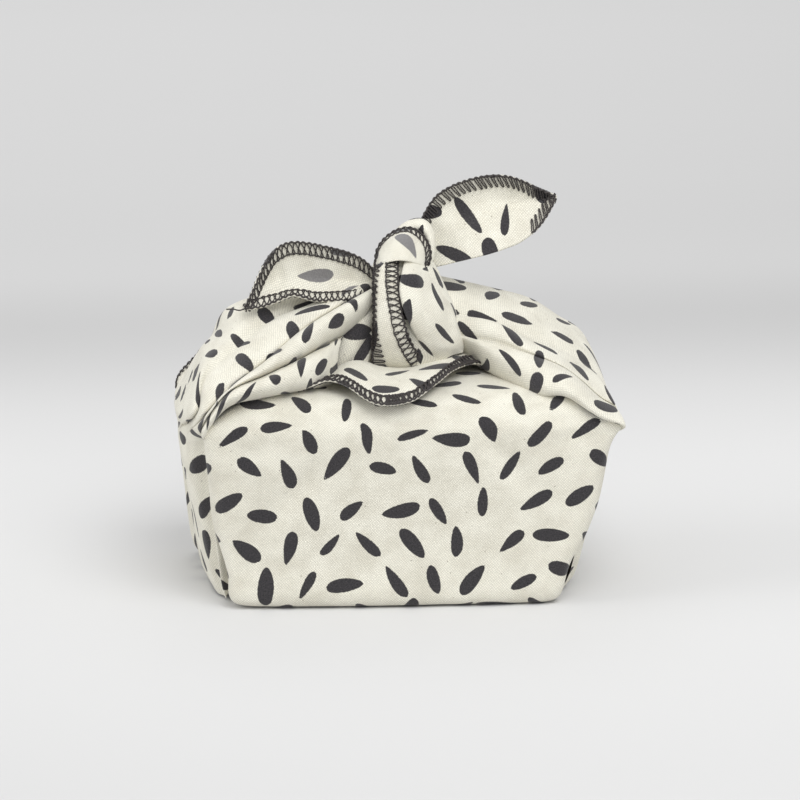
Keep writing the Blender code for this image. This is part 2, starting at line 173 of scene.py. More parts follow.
# The flap is the cloth's own corner: its hem from the left end round the tip to the right end, and
# three lines further in, each with as many stations.
FLAP = (
    ("hem", (-50, -41, 87.5), (-41.5, -46, 90.9), (-35.1, -46, 93.1), (-29.9, -49, 93),
     (-25, -54, 91.3), (-20.2, -58.5, 88.3), (-15, -61, 86.3), (-9.7, -61.5, 86.1), (-4.2, -60.5, 86.6),
     (0.3, -58, 87.5), (6.3, -53, 90.4), (11.2, -47, 92.2), (15.8, -41, 94.1), (20.5, -34, 94.6),
     (27, -26, 94.4), (33, -21, 92.8), (37.7, -19, 90.5), (42, -20, 88.5), (46, -22, 87.5)),
    ("lap", (-44, -33, 88), (-36.4, -38, 92.1), (-31, -38, 93.8), (-26.1, -40, 95), (-22.2, -43, 94.4),
     (-18.4, -47, 93.2), (-13.8, -49, 91.9), (-9, -49, 91.5), (-4.1, -48, 91.9), (0.4, -45, 92.8),
     (5.5, -40, 94), (10.7, -36, 95), (14.5, -31, 95.8), (19, -26, 96.3), (24, -20, 96.4),
     (30, -14, 94.5), (35, -12, 92), (39, -12, 90), (43, -13, 88.5)),
    ("inner", (-36, -20, 88), (-33, -26, 91), (-29, -28, 94.5), (-24.5, -28, 96.6), (-20.9, -27.5, 97),
     (-17.1, -27, 96.4), (-13.3, -28, 95), (-9, -28, 94), (-4, -28, 93.5), (0, -27, 93.5), (4, -25, 94),
     (8, -22, 95), (12, -18, 96), (16, -14, 96.5), (20, -10, 96.5), (24, -6, 95), (28, -6, 93),
     (33, -6, 91), (38, -7, 89)),
    ("middle", (-30, -10, 86), (-28, -14, 87), (-25, -16, 88.5), (-22, -17, 89.5), (-18, -17, 90.5),
     (-14, -17, 90.5), (-10, -17, 90.5), (-7, -17, 90.5), (-3, -17, 90.5), (0, -16, 90.5),
     (3, -15, 90.5), (6, -13, 91), (9, -10, 91.5), (12, -7, 92), (14, -4, 92), (17, -2, 91),
     (20, -2, 90), (24, -4, 89), (30, -6, 88)),
)

# The knot's core: a height, and its left, right, front and back there.
POUCH_ROWS = (
    (86.0, -5.0, 8.0, -17.0, 8.0),
    (88.5, -9.0, 15.5, -23.0, 13.0),
    (93.0, -11.2, 21.5, -26.5, 17.0),
    (99.0, -12.2, 25.5, -28.5, 19.0),
    (106.0, -12.4, 25.0, -28.8, 19.5),
    (114.0, -12.4, 22.0, -27.5, 18.5),
    (123.0, -12.2, 18.0, -24.5, 16.0),
    (131.0, -11.5, 14.5, -20.5, 13.0),
    (137.0, -9.0, 11.0, -14.0, 9.0),
)

# Down the front of the knot: a strip with a hem on both sides, and the puffed wrap that laps it.
STRIP = (
    ("left edge", (-11.2, -13, 134.1), (-12.6, -19, 129.5), (-13.1, -22, 123.8), (-12.9, -23, 115.3),
     (-13.5, -24.5, 107), (-14.0, -26, 99.6), (-13.4, -25.5, 93.4), (-10.9, -22.5, 88.6),
     (-7.0, -17.0, 86.0)),
    ("left turn", (-10.4, -17, 134.8), (-11.6, -23.5, 130.3), (-12, -27, 124.8), (-11.9, -29, 116.5),
     (-11.7, -29.5, 108.3), (-10.6, -29, 100.9), (-9, -27, 95.3), (-5.7, -23, 90.2), (-1.8, -17, 86.2)),
    ("right turn", (-6.9, -18.5, 135.9), (-7.6, -25.5, 130.6), (-7.9, -29, 125.1), (-7.3, -31, 116.8),
     (-6.2, -31.5, 108.6), (-3.7, -31, 102.3), (-0.6, -29, 96.4), (3.1, -25, 91.7), (7.5, -19, 88.1)),
    ("right edge", (-2.6, -17, 135.9), (-3.4, -24.5, 130.3), (-3.4, -28, 124.8), (-2.3, -30, 116.5),
     (-0.8, -30.5, 110.4), (1.5, -30, 104.4), (4.6, -28, 98.9), (8.4, -24, 93.4), (11.7, -18, 89.5)),
)
WRAP = (
    ("inside", (2.6, -14, 135.7), (0.5, -19, 129.6), (-0.7, -22, 123.6), (1.3, -23, 115),
     (4.2, -22.5, 108.6), (7.7, -21, 101.6), (12, -19, 95.2), (15.9, -14, 91.9)),
    ("fold edge", (0.2, -18, 136.5), (-2, -25, 132.1), (-3.3, -29, 126.2), (-2.2, -30.5, 119.5),
     (0.1, -30.5, 113.3), (3, -29.5, 107.2), (7.3, -27.5, 100), (11.4, -24, 94.6)),
    ("fold front", (1.7, -19, 137), (0, -27, 132.4), (-0.8, -31, 126.6), (0.6, -33, 120),
     (3, -33, 113.7), (6.4, -32, 107.6), (10.7, -30, 100.9), (14.1, -26, 95.4)),
    ("crest", (5.1, -18, 136.4), (5.1, -25, 131.9), (6.3, -29, 126.1), (8.5, -31, 119.4),
     (11, -31, 113.1), (13.6, -30, 107.1), (16.7, -28, 101.6), (18.8, -24, 97.3)),
    ("right", (10.7, -12, 133.5), (12.5, -14, 128.8), (15.2, -16, 122.9), (18.3, -17.5, 118.1),
     (20.5, -18.5, 112.5), (22.3, -19, 107.1), (24.2, -19, 102), (24, -19, 97.4)),
    ("back", (11.6, 0, 132.9), (14.1, 0, 127), (17.5, 0, 120.2), (20.8, 0, 113.8), (23, 0, 107.8),
     (24.6, 0, 102.3), (25.9, 0, 97.6), (24.6, -4, 93.8)),
)

# The fold that shows inside the wrap, and the hood that comes over the knot from behind.
INNER_FOLD = (
    ("left", (-0.8, -27, 120.9), (0.3, -28, 113.6), (2.8, -27.5, 106.8), (5.9, -26, 100.6),
     (9.6, -22, 94.6), (13.1, -17, 90.5)),
    ("crest", (0.6, -29, 121.2), (2.6, -30, 113.9), (5.5, -29.5, 107.1), (8.5, -28, 100.5),
     (11.4, -24.5, 95.1), (13.7, -19, 91.4)),
    ("right", (5.5, -23, 120.4), (8.5, -23, 112.9), (12, -22.5, 106), (15, -21, 99.8), (17, -18, 95),
     (17.5, -13, 91.5)),
)
HOOD = (
    ("hem", (-10.3, -4, 132.4), (-10, -3, 136), (-9.1, -2, 138.5), (-6.8, -1, 141.6),
     (-3.4, -0.5, 144.3), (-0.1, -1, 145.9), (3.4, -3, 146.8), (6.8, -6, 145.8), (9.4, -9, 143.4),
     (11.1, -12, 139.3), (10.9, -14, 135.5), (9.5, -15, 132.4)),
    ("crown", (-11, -6, 132.4), (-10.2, -7, 135.5), (-9.2, -9, 138.3), (-6.9, -11, 141.1),
     (-4.2, -13, 143.1), (-1.1, -14, 144), (2.1, -15, 143.8), (4.9, -15.5, 142.1), (7.3, -16, 139.7),
     (8.6, -16, 136.8), (8.6, -16, 134.3), (8.2, -15.5, 132.1)),
    ("bottom", (-11.4, -8, 131.9), (-10.5, -14, 133.5), (-9.6, -17, 134.5), (-7.8, -19.5, 135.7),
     (-5.5, -21.5, 136.7), (-2.4, -22.5, 137.2), (0.9, -22.5, 136.8), (3.5, -21.5, 135.8),
     (5.7, -20, 134.7), (7.3, -18, 133.4), (8.1, -17, 132.6), (8.3, -15, 131.6)),
    ("under", (-11, -4, 130.7), (-9.5, -8, 133.1), (-8, -10, 134.3), (-6.2, -12, 135.5),
     (-3.9, -14, 136.6), (-1.2, -15, 137.2), (1.7, -15, 136.7), (3.9, -14, 135.7), (5.6, -13, 134.6),
     (7.4, -12, 133.1), (8.3, -11, 132.1), (8.4, -10, 131.1)),
)

# The rolled folds: where the middle goes, and half widths across and deep there.
ROLL = (
    (-2.0, 2.0, 139.5, 3.0, 5.0),
    (1.5, 1.5, 143.8, 3.2, 5.0),
    (5.5, 1.0, 146.3, 3.4, 4.5),
    (9.0, 0.0, 146.8, 3.2, 4.5),
    (11.2, -2.0, 144.0, 2.8, 5.0),
    (11.8, -4.0, 139.5, 2.4, 6.0),
    (11.3, -5.0, 134.5, 2.2, 6.0),
    (9.5, -5.0, 130.5, 2.0, 5.0),
)
TUCK = (
    (-12.5, -12.0, 115.0, 4.0, 5.0),
    (-17.5, -15.0, 109.0, 5.0, 6.0),
    (-22.0, -17.5, 103.0, 5.6, 6.5),
    (-25.5, -19.0, 97.0, 5.4, 6.0),
    (-28.0, -19.0, 90.5, 4.0, 5.0),
)
SIDE_TUCK = (
    (-11.5, -13.0, 107.0, 3.4, 4.5),
    (-14.5, -16.5, 102.0, 4.0, 5.5),
    (-17.5, -19.0, 97.5, 4.3, 6.0),
    (-20.0, -20.0, 93.0, 4.0, 5.5),
    (-21.5, -20.0, 88.5, 3.0, 4.5),
)

LEFT_EAR = (
    ("upper", (-10, -9, 128.3), (-13, -9.1, 132.3), (-17.3, -9.2, 135.9), (-23.4, -9.5, 138.7),
     (-30.7, -10, 140.8), (-38.5, -10.6, 142.7), (-45.3, -11.5, 143.4), (-50, -12.6, 142.3),
     (-53.7, -14, 139.6), (-56.8, -15.5, 135.6), (-59.9, -17.8, 129.9), (-62.9, -20.1, 123.8),
     (-66.1, -23, 118.7)),
    ("hollow", (-9.7, -8, 125.7), (-12.8, -8.1, 126.2), (-17.2, -8.1, 126.7), (-22.8, -7.9, 127.3),
     (-29.4, -8.2, 128.7), (-36.9, -9.1, 130.3), (-42.8, -10, 130.8), (-47.2, -11.1, 130.2),
     (-50.9, -10.7, 128.5), (-54.2, -12.9, 126.5), (-58.1, -16.2, 124), (-62.1, -20.1, 121.2),
     (-66.1, -23, 118.5)),
    ("roll", (-10, -9, 122.9), (-12.9, -9.3, 123.8), (-17.4, -9.6, 124.7), (-23.2, -9.8, 125.7),
     (-29.8, -10, 126.2), (-36, -11.2, 126.1), (-41.1, -13.2, 125.8), (-45.3, -15.2, 125),
     (-49.2, -17, 124.2), (-53, -18.8, 122.8), (-57.2, -21.1, 121.6), (-61.8, -22.3, 119.9),
     (-66.1, -23, 118.4)),
    ("lower", (-10.4, -13, 120.8), (-13.4, -14.6, 120.6), (-18.1, -16.6, 120.4), (-23.9, -18.6, 120.2),
     (-30.6, -19.9, 120.3), (-36.8, -21.1, 120.8), (-41.7, -21.7, 122.3), (-45.8, -21.6, 123.4),
     (-49.5, -22.4, 122.4), (-53.2, -23.1, 120.9), (-57.4, -23.6, 119.5), (-61.9, -24.1, 118.7),
     (-66.2, -23.5, 118.2)),
)
RIGHT_EAR = (
    ("upper", (8.6, 3, 145.8), (9.7, 3.7, 150.1), (11.3, 4.3, 152.9), (13.7, 4.9, 156.5),
     (16.8, 4.8, 159.7), (21.5, 4.7, 162.5), (26.1, 3.9, 164.5), (31.5, 3, 166.2), (36.9, 1.9, 167.2),
     (41.5, 0.7, 167.4), (46.3, 0.3, 166.7), (51.5, -0.1, 164.8), (56.3, -0.7, 162.5),
     (60.6, -1.8, 160.7), (64.6, -3, 158.8)),
    ("bowl", (10.6, 3, 139.4), (12.3, 3.3, 142.2), (14.9, 3.7, 145), (17.9, 4.1, 148.2),
     (21.5, 4.4, 150.5), (25.7, 4.5, 153.1), (30.3, 4.2, 154.8), (35.3, 3.8, 155.7), (39.8, 3.6, 156.3),
     (43.8, 3.3, 156.8), (48.0, 2.9, 156.9), (52.0, 2.3, 157), (56.0, 1.3, 157.2), (60.2, -0.2, 157.6),
     (64.6, -3, 158.7)),
    ("fold", (10.8, 0, 134.2), (13.3, -0.4, 135.8), (16.6, -0.8, 137.4), (20.3, -2.1, 139.1),
     (24.4, -3.4, 141.2), (28.5, -4.1, 143.7), (32.7, -4.3, 146.1), (36.8, -3.8, 148.1),
     (40.6, -2.8, 150), (44.4, -1.1, 151.6), (48.1, 0.1, 152.8), (52.3, 0.4, 153.9),
     (56.3, -0.8, 155.3), (60.3, -1.9, 156.6), (64.6, -3, 158.6)),
    ("lower", (11.3, -3, 129.7), (13.7, -4.6, 130.7), (17.3, -6.1, 131.8), (21.3, -7.6, 133),
     (25.7, -9, 134.2), (30.2, -9.8, 135.4), (34.8, -10, 136.4), (39.4, -9.6, 137.6), (43.6, -9, 138.9),
     (47.8, -8.3, 140.4), (51.6, -7.5, 142.6), (55.4, -6.6, 145.3), (59, -5.6, 149.2),
     (61.9, -4.6, 153.6), (64.6, -3, 158.3)),
)

# Creases that the folding left: start, bend and end of a soft trough, then its width and depth.
FRONT_CREASES = (
    ((-68.0, -50.0, 4.0), (-61.0, -53.0, 30.0), (-66.0, -55.0, 60.0), 6.5, 1.2),
    ((-34.0, -55.0, 62.0), (-48.0, -54.0, 52.0), (-64.0, -54.0, 34.0), 5.5, 1.4),
    ((10.0, -50.0, 6.0), (18.0, -53.0, 30.0), (8.0, -56.0, 66.0), 9.0, 0.6),
    ((24.0, -57.0, 76.0), (36.0, -56.0, 62.0), (52.0, -56.0, 44.0), 4.5, 1.3),
    ((82.0, -57.0, 73.0), (66.0, -57.0, 67.0), (50.0, -56.0, 68.0), 4.0, 0.8),
    ((-82.0, -57.0, 70.0), (-66.0, -57.0, 64.0), (-52.0, -56.0, 70.0), 4.5, 0.8),
    ((-20.0, -48.0, 2.0), (4.0, -50.0, 7.0), (26.0, -48.0, 3.0), 4.0, 0.5),
    ((56.0, -57.0, 79.0), (66.0, -57.0, 76.0), (62.0, -56.0, 68.0), 2.6, 1.1),
)
LEFT_CREASES = (
    ((-88.0, -30.0, 60.0), (-88.0, -26.0, 84.0), (-72.0, -20.0, 103.0), 3.0, 0.8),
    ((-90.0, 16.0, 62.0), (-89.0, 6.0, 82.0), (-80.0, -6.0, 98.0), 4.0, 0.7),
)
RIGHT_CREASES = (
    ((28.0, -14.0, 112.0), (52.0, -4.0, 108.0), (72.0, 4.0, 101.0), 3.0, 0.7),
    ((30.0, -24.0, 104.0), (36.0, -27.0, 100.0), (44.0, -30.0, 101.0), 4.0, 0.6),
    ((60.0, -30.0, 97.0), (70.0, -26.0, 94.0), (79.0, -20.0, 90.0), 3.5, 0.9),
    ((66.0, 6.0, 107.0), (60.0, -6.0, 106.0), (48.0, -12.0, 107.0), 3.0, 0.6),
)
KNOT_CREASES = (
    ((20.0, -19.0, 121.0), (15.0, -26.0, 112.0), (19.0, -23.0, 101.0), 3.0, 0.8),
    ((8.0, -25.0, 133.0), (10.0, -29.0, 124.0), (6.0, -32.0, 115.0), 2.5, 0.5),
)
EAR_CREASES = (
    ((44.0, -1.0, 162.0), (50.0, 0.0, 156.0), (46.0, -1.0, 148.0), 2.6, 1.2),
    ((20.0, 4.0, 155.0), (26.0, 5.0, 149.0), (36.0, 2.0, 147.0), 3.5, 0.8),
)

CREASE_STEPS = 39                       # places along a crease
PANEL_RINGS, CLOSING_RINGS = 130, 24    # rings up a panel, and over its base and its top
FRONT_STEPS, BACK_STEPS = 170, 150      # faces across the front and the back
TURN_STEPS = 10                         # faces round a corner of the body
GROOVE_DEEPEST, GROOVE_END = 6.0, 20.0  # how far behind the front's rim its groove lies, and ends
LID_MIDDLE = (0.0, -4.0, 89.5)          # where the panels close under the knot
WALL_INSET = 0.45                       # how far in from the corners a wing lies, as a share of their radius
WING_ROWS = 170
PLEAT_STEPS = 26                        # faces across one pleat of a wing
PLEATS_START = 1.4                      # stations before the pinch where a wing is drawn into pleats

# ------------------------------------------------------------------------------ sizes of the print

SEED_PITCH = 17.8                       # from one printed seed to the next
LINE_PITCH = SEED_PITCH * 0.88          # from one line of seeds to the next
SEED_COLS, SEED_LINES = 8, 10           # the seeds of one repeat
REPEAT = (SEED_COLS * SEED_PITCH, SEED_LINES * LINE_PITCH)
SEED_STRAY = 4.2                        # how far a seed may lie from its place in the lines
SEED_APART = SEED_PITCH * 0.86          # neighbours that are closer move apart
SEED_TURN = 2.39996                     # the golden angle, from one seed's lean to the next
SEED_LONG = (11.0, 17.0)                # shortest and longest
SEED_WIDE = (3.8, 6.2)                  # narrowest and widest
SEED_HALF_LONG = 6.6                    # seeds that are longer than this get wider too
SEED_SWAY = 0.5                         # how far a seed may lean from its turn, in radians
SEED_BEND = 0.5                         # how far a seed's middle may bend aside
SEED_POINT = (0.15, 0.9)                # 0 is round at both ends, 1 is a sharp tip
SEED_TAPER, SEED_TIP = 0.42, 0.30       # how much a pointed seed narrows along it, and at its tip
SEED_WIDEST = -0.25                     # where along a seed its taper starts
SEED_REACH = 2.5                        # how far from a seed its distance is still kept

# Where each sheet lies on the print's repeat: across, along, and turned by so many degrees.
PRINT_PLACES = {
    "front_panel": (13.0, 40.0, 0), "back_panel": (70.0, 90.0, 0),
    "left_wing": (122.1, 45.2, 90), "right_wing": (4.2, 44.8, 135),
    "corner_flap": (26.5, 49.0, 345),
    "knot_core": (20.0, 77.0, 0), "knot_wrap": (0.1, 48.7, 255), "knot_inner_fold": (3.0, 50.0, 0),
    "knot_strip": (129.7, 30.5, 330), "knot_hood": (122.9, 71.8, 345), "knot_roll": (10.4, 28.8, 345),
    "knot_tuck": (141.4, 130.1, 345), "knot_side_tuck": (141.9, 37.3, 345),
    "left_ear": (17.8, 48.4, 30), "right_ear": (42.9, 100.5, 0),
}

# The left wing's columns: the one that lies straight on the print, the one past which each column
# climbs by its own length, and how many it takes to get there.
LEFT_STRAIGHT, LEFT_LOOSE, LOOSE_BLEND = 86, 88, 18.0

# ------------------------------------------------------------------------------ sizes of the hems

STITCH_PITCH = 2.4
STITCH_JOG, STITCH_SPREAD = 0.08, 0.05  # how uneven the stitches are, along the hem and across it
THREAD_RADIUS = 0.26
EDGE_THREAD_RADIUS = 0.42
FLAP_THREAD_RADIUS = 0.36
LOCKDOWN_THREAD_RADIUS = 0.40
LOOSE_THREAD_RADIUS = 0.3
HEM_REACH, HEM_LANES = 7.0, 15          # how far in from its edge the cloth is followed, in how many lanes
LOCKDOWN_SPAN = (0.37, 0.46)            # shares of the flap's hem that are sewn over twice
BACK_HEM_HEIGHT = 72.0                  # a wing's back hem shows above this
BACK_HEM_SPAN = (0.0, 0.93)             # and runs on to the knot
EAR_TIP_SPAN = (0.72, 1.0)

# One stitch of each thread: share of the pitch along, distance in from the edge, height above.
LOOP_STITCH = ((0.00, 0.2, 0.25), (0.30, 1.6, 0.35), (0.58, 3.4, 0.40), (0.70, 4.7, 0.40),
               (0.50, 5.3, 0.45), (0.30, 4.7, 0.55), (0.42, 3.4, 0.60), (0.70, 1.6, 0.50))
BAR_STITCH = ((0.00, 0.1, 0.30), (0.22, 1.6, 0.50), (0.48, 3.4, 0.50), (0.70, 4.8, 0.50), (0.90, 5.3, 0.50),
              (1.00, 4.6, 0.50), (0.86, 3.4, 0.50), (0.66, 1.6, 0.50), (0.50, 0.1, 0.30))
EDGE_STITCH = ((0.00, 0.40, 0.45), (0.25, 0.10, 0.55), (0.50, -0.15, 0.20), (0.75, 0.15, 0.10))
NEEDLE_STITCH = ((0.05, 5.0, 0.15), (0.25, 5.1, 0.50), (0.75, 5.1, 0.50), (0.95, 5.0, 0.15))

EAR_THREAD_END = ((-66.0, -23.5, 118.4), (-68.0, -24.2, 118.0), (-70.5, -24.4, 118.6),
                  (-73.2, -24.0, 118.5))

# ------------------------------------------------------------------------------ sizes of the patterns

# Each pattern in mm, from one thread, patch, speck or fibre to the next.
WEAVE_PITCH = 0.8                       # the real threads lie about 0.5 mm apart, too fine to show
SLUB_PITCH = 1.111                      # thick and thin places in the threads
CLOUD_PITCH = 14.3                      # patches where the cotton is creamier
HUSK_PITCH = 5.0                        # places where a speck of husk may lie
RAGGED_PITCH = 0.909                    # where the ink sank between the threads at the print's edge
WEAR_PITCH = 0.625                      # where the ink is worn
FUZZ_PITCH = 0.4                        # fibres of the sewing thread

CREAM, CREAM_SHADE, SPECK = "#EDEADC", "#DEDACB", "#6E6250"
CHARCOAL, CHARCOAL_WORN = "#171518", "#403D40"
REVERSE_SEED, REVERSE_SEED_LIGHT = "#4C4B50", "#93918E"
THREAD_DARK, THREAD_LIGHT = "#1F1B1A", "#443E3D"

# ------------------------------------------------------------------------------ camera and stage

AZIMUTH, ELEVATION = -6.0, 13.0         # degrees
DISTANCE = 1.4                          # metres
LENS, SENSOR = 151.2, 36.0              # mm
AIM = Vector((0.0, 0.0, 0.0736))

# The sheet of paper that the bundle stands on, in metres, and the painted shade in its colour by how far
# back it lies: darker towards the front, a grey band behind the bundle, lighter far back.
PAPER_SIDES, PAPER_FRONT, PAPER_BACK = 4.5, -4.0, 4.5
PAPER_NEAR, PAPER_FAR = -0.4, 2.4
PAPER_PAINTED_SHADE = (
    (-0.29, "#CACACA"), (-0.17, "#D3D3D3"), (-0.05, "#D8D8D8"), (0.08, "#DCDCDC"), (0.18, "#E0E0E0"),
    (0.26, "#DEDEDE"), (0.33, "#DBDBDB"), (0.40, "#D4D4D4"), (0.47, "#CECECE"), (0.55, "#CCCCCC"),
    (0.66, "#DADADA"), (0.80, "#D9D9D9"), (1.0, "#DEDEDE"), (1.3, "#E2E2E2"), (1.7, "#E6E6E6"),
    (2.2, "#EDEDED"),
)

# Round soft lights: where each one is and what it shines at, its width in metres, and its watts.
LIGHTS = (
    ("left_softbox", (-2.0, -0.3, 0.8), (0.0, 0.0, 0.06), 1.4, 15.2),
    ("front_fill", (0.3, -1.05, 0.9), (0.0, 0.0, 0.14), 0.9, 4.2),
    ("top_softbox", (0.2, -0.6, 0.95), (0.0, 0.0, 0.12), 0.8, 5.4),
    ("far_softbox", (0.0, 1.7, 1.7), (0.0, 1.6, 0.0), 1.6, 6.0),
)
ROOM_LIGHT = 0.62

# A point inside the body and one inside the knot, which their cloth faces away from, and one behind
# each ear.
BODY_CORE, KNOT_CORE = (0.0, -2.0, 40.0), (4.0, -2.0, 110.0)
BEHIND_LEFT_EAR, BEHIND_RIGHT_EAR = (-34.0, 80.0, 100.0), (34.0, 80.0, 120.0)


# ============================================================================== curves and grids

def named(columns, row):
    return dict(zip(columns, row))


def unit(vectors):
    return vectors / np.maximum(np.linalg.norm(vectors, axis=-1, keepdims=True), 1e-9)


def steps_along(points, axis):
    """The lengths of the steps from point to point, along an axis of a curve or a grid."""
    return np.linalg.norm(np.diff(points, axis=axis), axis=-1)


def through(points, shares):
    """Points of the smooth curve (Catmull-Rom) through the given points, at shares from 0 to 1."""
    points = np.asarray(points, float)
    last = len(points) - 1
    place = np.clip(np.asarray(shares, float), 0.0, 1.0) * last
    i = np.minimum(place.astype(int), last - 1)
    t = (place - i).reshape((-1,) + (1,) * (points.ndim - 1))
    p1, p2 = points[i], points[i + 1]
    p0 = np.where((i > 0).reshape(t.shape), points[np.maximum(i - 1, 0)], 2 * p1 - p2)
    p3 = np.where((i + 2 <= last).reshape(t.shape), points[np.minimum(i + 2, last)], 2 * p2 - p1)
    return 0.5 * (2 * p1 + (p2 - p0) * t + (2 * p0 - 5 * p1 + 4 * p2 - p3) * t**2
                  + (3 * p1 - p0 - 3 * p2 + p3) * t**3)


def even_shares(points, count):
    """Shares that space the points of a curve evenly along its length."""
    fine = np.linspace(0.0, 1.0, 400)
    run = np.r_[0.0, np.cumsum(steps_along(through(points, fine), 0))]
    return np.interp(np.linspace(0.0, run[-1], count), run, fine)


def bent(start, corner, end, steps):
    """A smooth line from start to end, drawn towards the corner between them."""
    start, corner, end = (np.asarray(point, float) for point in (start, corner, end))
    t = np.linspace(0.0, 1.0, steps + 1)[:, None]
    return start * (1 - t)**2 + corner * (2 * t * (1 - t)) + end * t**2


def outward_normals(grid, core):
    """Unit normals of a grid of points, on the side that faces away from the core point."""
    normals = unit(np.cross(np.gradient(grid, axis=0), np.gradient(grid, axis=1)))
    away = (normals * unit(grid - np.asarray(core, float))).sum()
    return normals if away >= 0 else -normals


def leaf_grid(table, along=90, across=50):
    """A smooth sheet through the lines of a table, as many rows along them, columns across them."""
    lines = np.array([row[1:] for row in table], float)
    shares = even_shares(lines[len(lines) // 2], along)
    at = through(lines.transpose(1, 0, 2), shares)
    return through(at.transpose(1, 0, 2), np.linspace(0.0, 1.0, across)).transpose(1, 0, 2)


def pressed(grid, creases, core):
    """The grid with soft troughs along its creases, which fade out at both their ends."""
    rows, cols = grid.shape[:2]
    flat = grid.reshape(-1, 3)
    push = np.zeros(len(flat))
    for start, bend, end, width, depth in creases:
        line = bent(start, bend, end, CREASE_STEPS)
        nearest = np.linalg.norm(line[:, None] - flat[None], axis=2).argmin(axis=1)
        gaps = np.linalg.norm(flat[:, None] - flat[nearest][None], axis=2)
        fade = np.sin(math.pi * np.clip(gaps.argmin(axis=1) / CREASE_STEPS, 0.02, 0.98)) ** 0.6
        push += depth * fade * np.exp(-(gaps.min(axis=1) / width) ** 2)
    return grid - outward_normals(grid, core) * push.reshape(rows, cols, 1)


def lay_flat(grid, straight=None, loose=None):
    """Each point's place on the flat cloth: along its row from the column that lies straight, and up.

    The columns climb together, but past the column "loose" each one climbs by its own length.
    """
    rows, cols = grid.shape[:2]
    u = np.c_[np.zeros(rows), np.cumsum(steps_along(grid, 1), axis=1)]
    u -= u[:, cols // 2 if straight is None else straight][:, None]
    along = steps_along(grid, 0)
    step = np.median(along[:, cols // 4: cols - cols // 4], axis=1)[:, None]
    own = np.zeros(cols)
    if loose is not None:
        own = np.clip((np.arange(cols) - loose) / LOOSE_BLEND, 0.0, 1.0)
    v = np.r_[np.zeros((1, cols)), np.cumsum(step + (along - step) * own, axis=0)]
    return np.stack([u, v], axis=2)


def lay_plan(grid, right, up):
    """Each point's place on the flat cloth, for a sheet that is close to flat already."""
    return np.stack([grid @ np.array(right, float), grid @ np.array(up, float)], axis=2)


def on_print(name, flat):
    """The sheet's points where it was cut from the printed cloth."""
    x, y, turn = PRINT_PLACES[name]
    c, s = math.cos(math.radians(turn)), math.sin(math.radians(turn))
    u, v = flat[..., 0], flat[..., 1]
    return np.stack([u * c - v * s + x, u * s + v * c + y], axis=-1)


# ============================================================================== the print

def chart_seeds():
    """The seeds of one repeat: middles, half lengths, half widths, leans, points and bends."""
    draw = np.random.default_rng(41)
    middles = np.array([((col + 0.5 * (line % 2)) * SEED_PITCH, line * LINE_PITCH)
                        for line in range(SEED_LINES) for col in range(SEED_COLS)])
    count = len(middles)
    middles += draw.uniform(-SEED_STRAY, SEED_STRAY, (count, 2))
    for _ in range(12):                                   # neighbours that are too close move apart
        gap = middles[:, None] - middles[None]
        gap -= np.round(gap / REPEAT) * REPEAT
        far = np.linalg.norm(gap, axis=2) + 1e9 * np.eye(count)
        push = np.where(far < SEED_APART, (SEED_APART - far) * 0.5, 0.0)
        middles += (gap / far[..., None] * push[..., None]).sum(axis=1) * 0.6
    lean = (np.arange(count) * SEED_TURN + draw.uniform(-SEED_SWAY, SEED_SWAY, count)) % (2 * math.pi)
    half_long = draw.uniform(*SEED_LONG, count) / 2
    half_wide = draw.uniform(*SEED_WIDE, count) / 2 * (half_long / SEED_HALF_LONG) ** 0.5
    point = draw.uniform(*SEED_POINT, count)
    bend = draw.uniform(-SEED_BEND, SEED_BEND, count)
    return middles, half_long, half_wide, lean, point, bend


SEEDS = chart_seeds()


def seed_distance(flat):
    """How far each place on the flat cloth is outside the nearest seed, in mm; inside is negative."""
    places = flat.reshape(-1, 2)
    nearest = np.full(len(places), SEED_REACH)
    for (cx, cy), long, wide, lean, point, bend in zip(*SEEDS):
        gap = places - (cx, cy)
        gap -= np.round(gap / REPEAT) * REPEAT
        near = np.flatnonzero(np.abs(gap).max(axis=1) < long + SEED_REACH)
        x, y = gap[near].T
        along = (x * math.cos(lean) + y * math.sin(lean)) / long
        across = -x * math.sin(lean) + y * math.cos(lean) - bend * (1 - along**2)
        width = wide * np.clip(1 - along**2, 0.0, 1.0) ** 0.5
        width *= 1 - point * SEED_TAPER * (along - SEED_WIDEST)
        width *= 1 - point * SEED_TIP * np.clip(along, 0.0, 1.0) ** 2
        outside = np.maximum(np.abs(across) - width, (np.abs(along) - 1) * long)
        nearest[near] = np.minimum(nearest[near], outside)
    return nearest


# ============================================================================== meshes

def mesh_piece(name, points, faces, material):
    """A smooth piece from points in mm, which stands for the CAD's cloth and rides with it."""
    mesh = bpy.data.meshes.new(name)
    mesh.from_pydata((np.asarray(points) * MM).tolist(), [], np.asarray(faces).tolist())
    mesh.materials.append(material)
    mesh.shade_smooth()
    piece = bpy.data.objects.new(name, mesh)
    bpy.context.scene.collection.objects.link(piece)
    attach(piece, "root")
    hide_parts(NODE)
    return piece


def grid_faces(rows, cols, start=0):
    r, c = np.meshgrid(np.arange(rows - 1), np.arange(cols - 1), indexing="ij")
    a = (r * cols + c).ravel() + start
    return np.stack([a, a + cols, a + cols + 1, a + 1], axis=1)


def rim_faces(rows, cols):
    """Faces that close the edge between a grid and its copy on the other side of the cloth."""
    top, bottom = np.arange(cols), (rows - 1) * cols + np.arange(cols)
    left, right = np.arange(rows) * cols, np.arange(rows) * cols + cols - 1
    loop = np.r_[top[:-1], right[:-1], bottom[::-1][:-1], left[::-1]]
    a, b = loop[:-1], loop[1:]
    other = rows * cols
    return np.stack([a, b, b + other, a + other], axis=1)


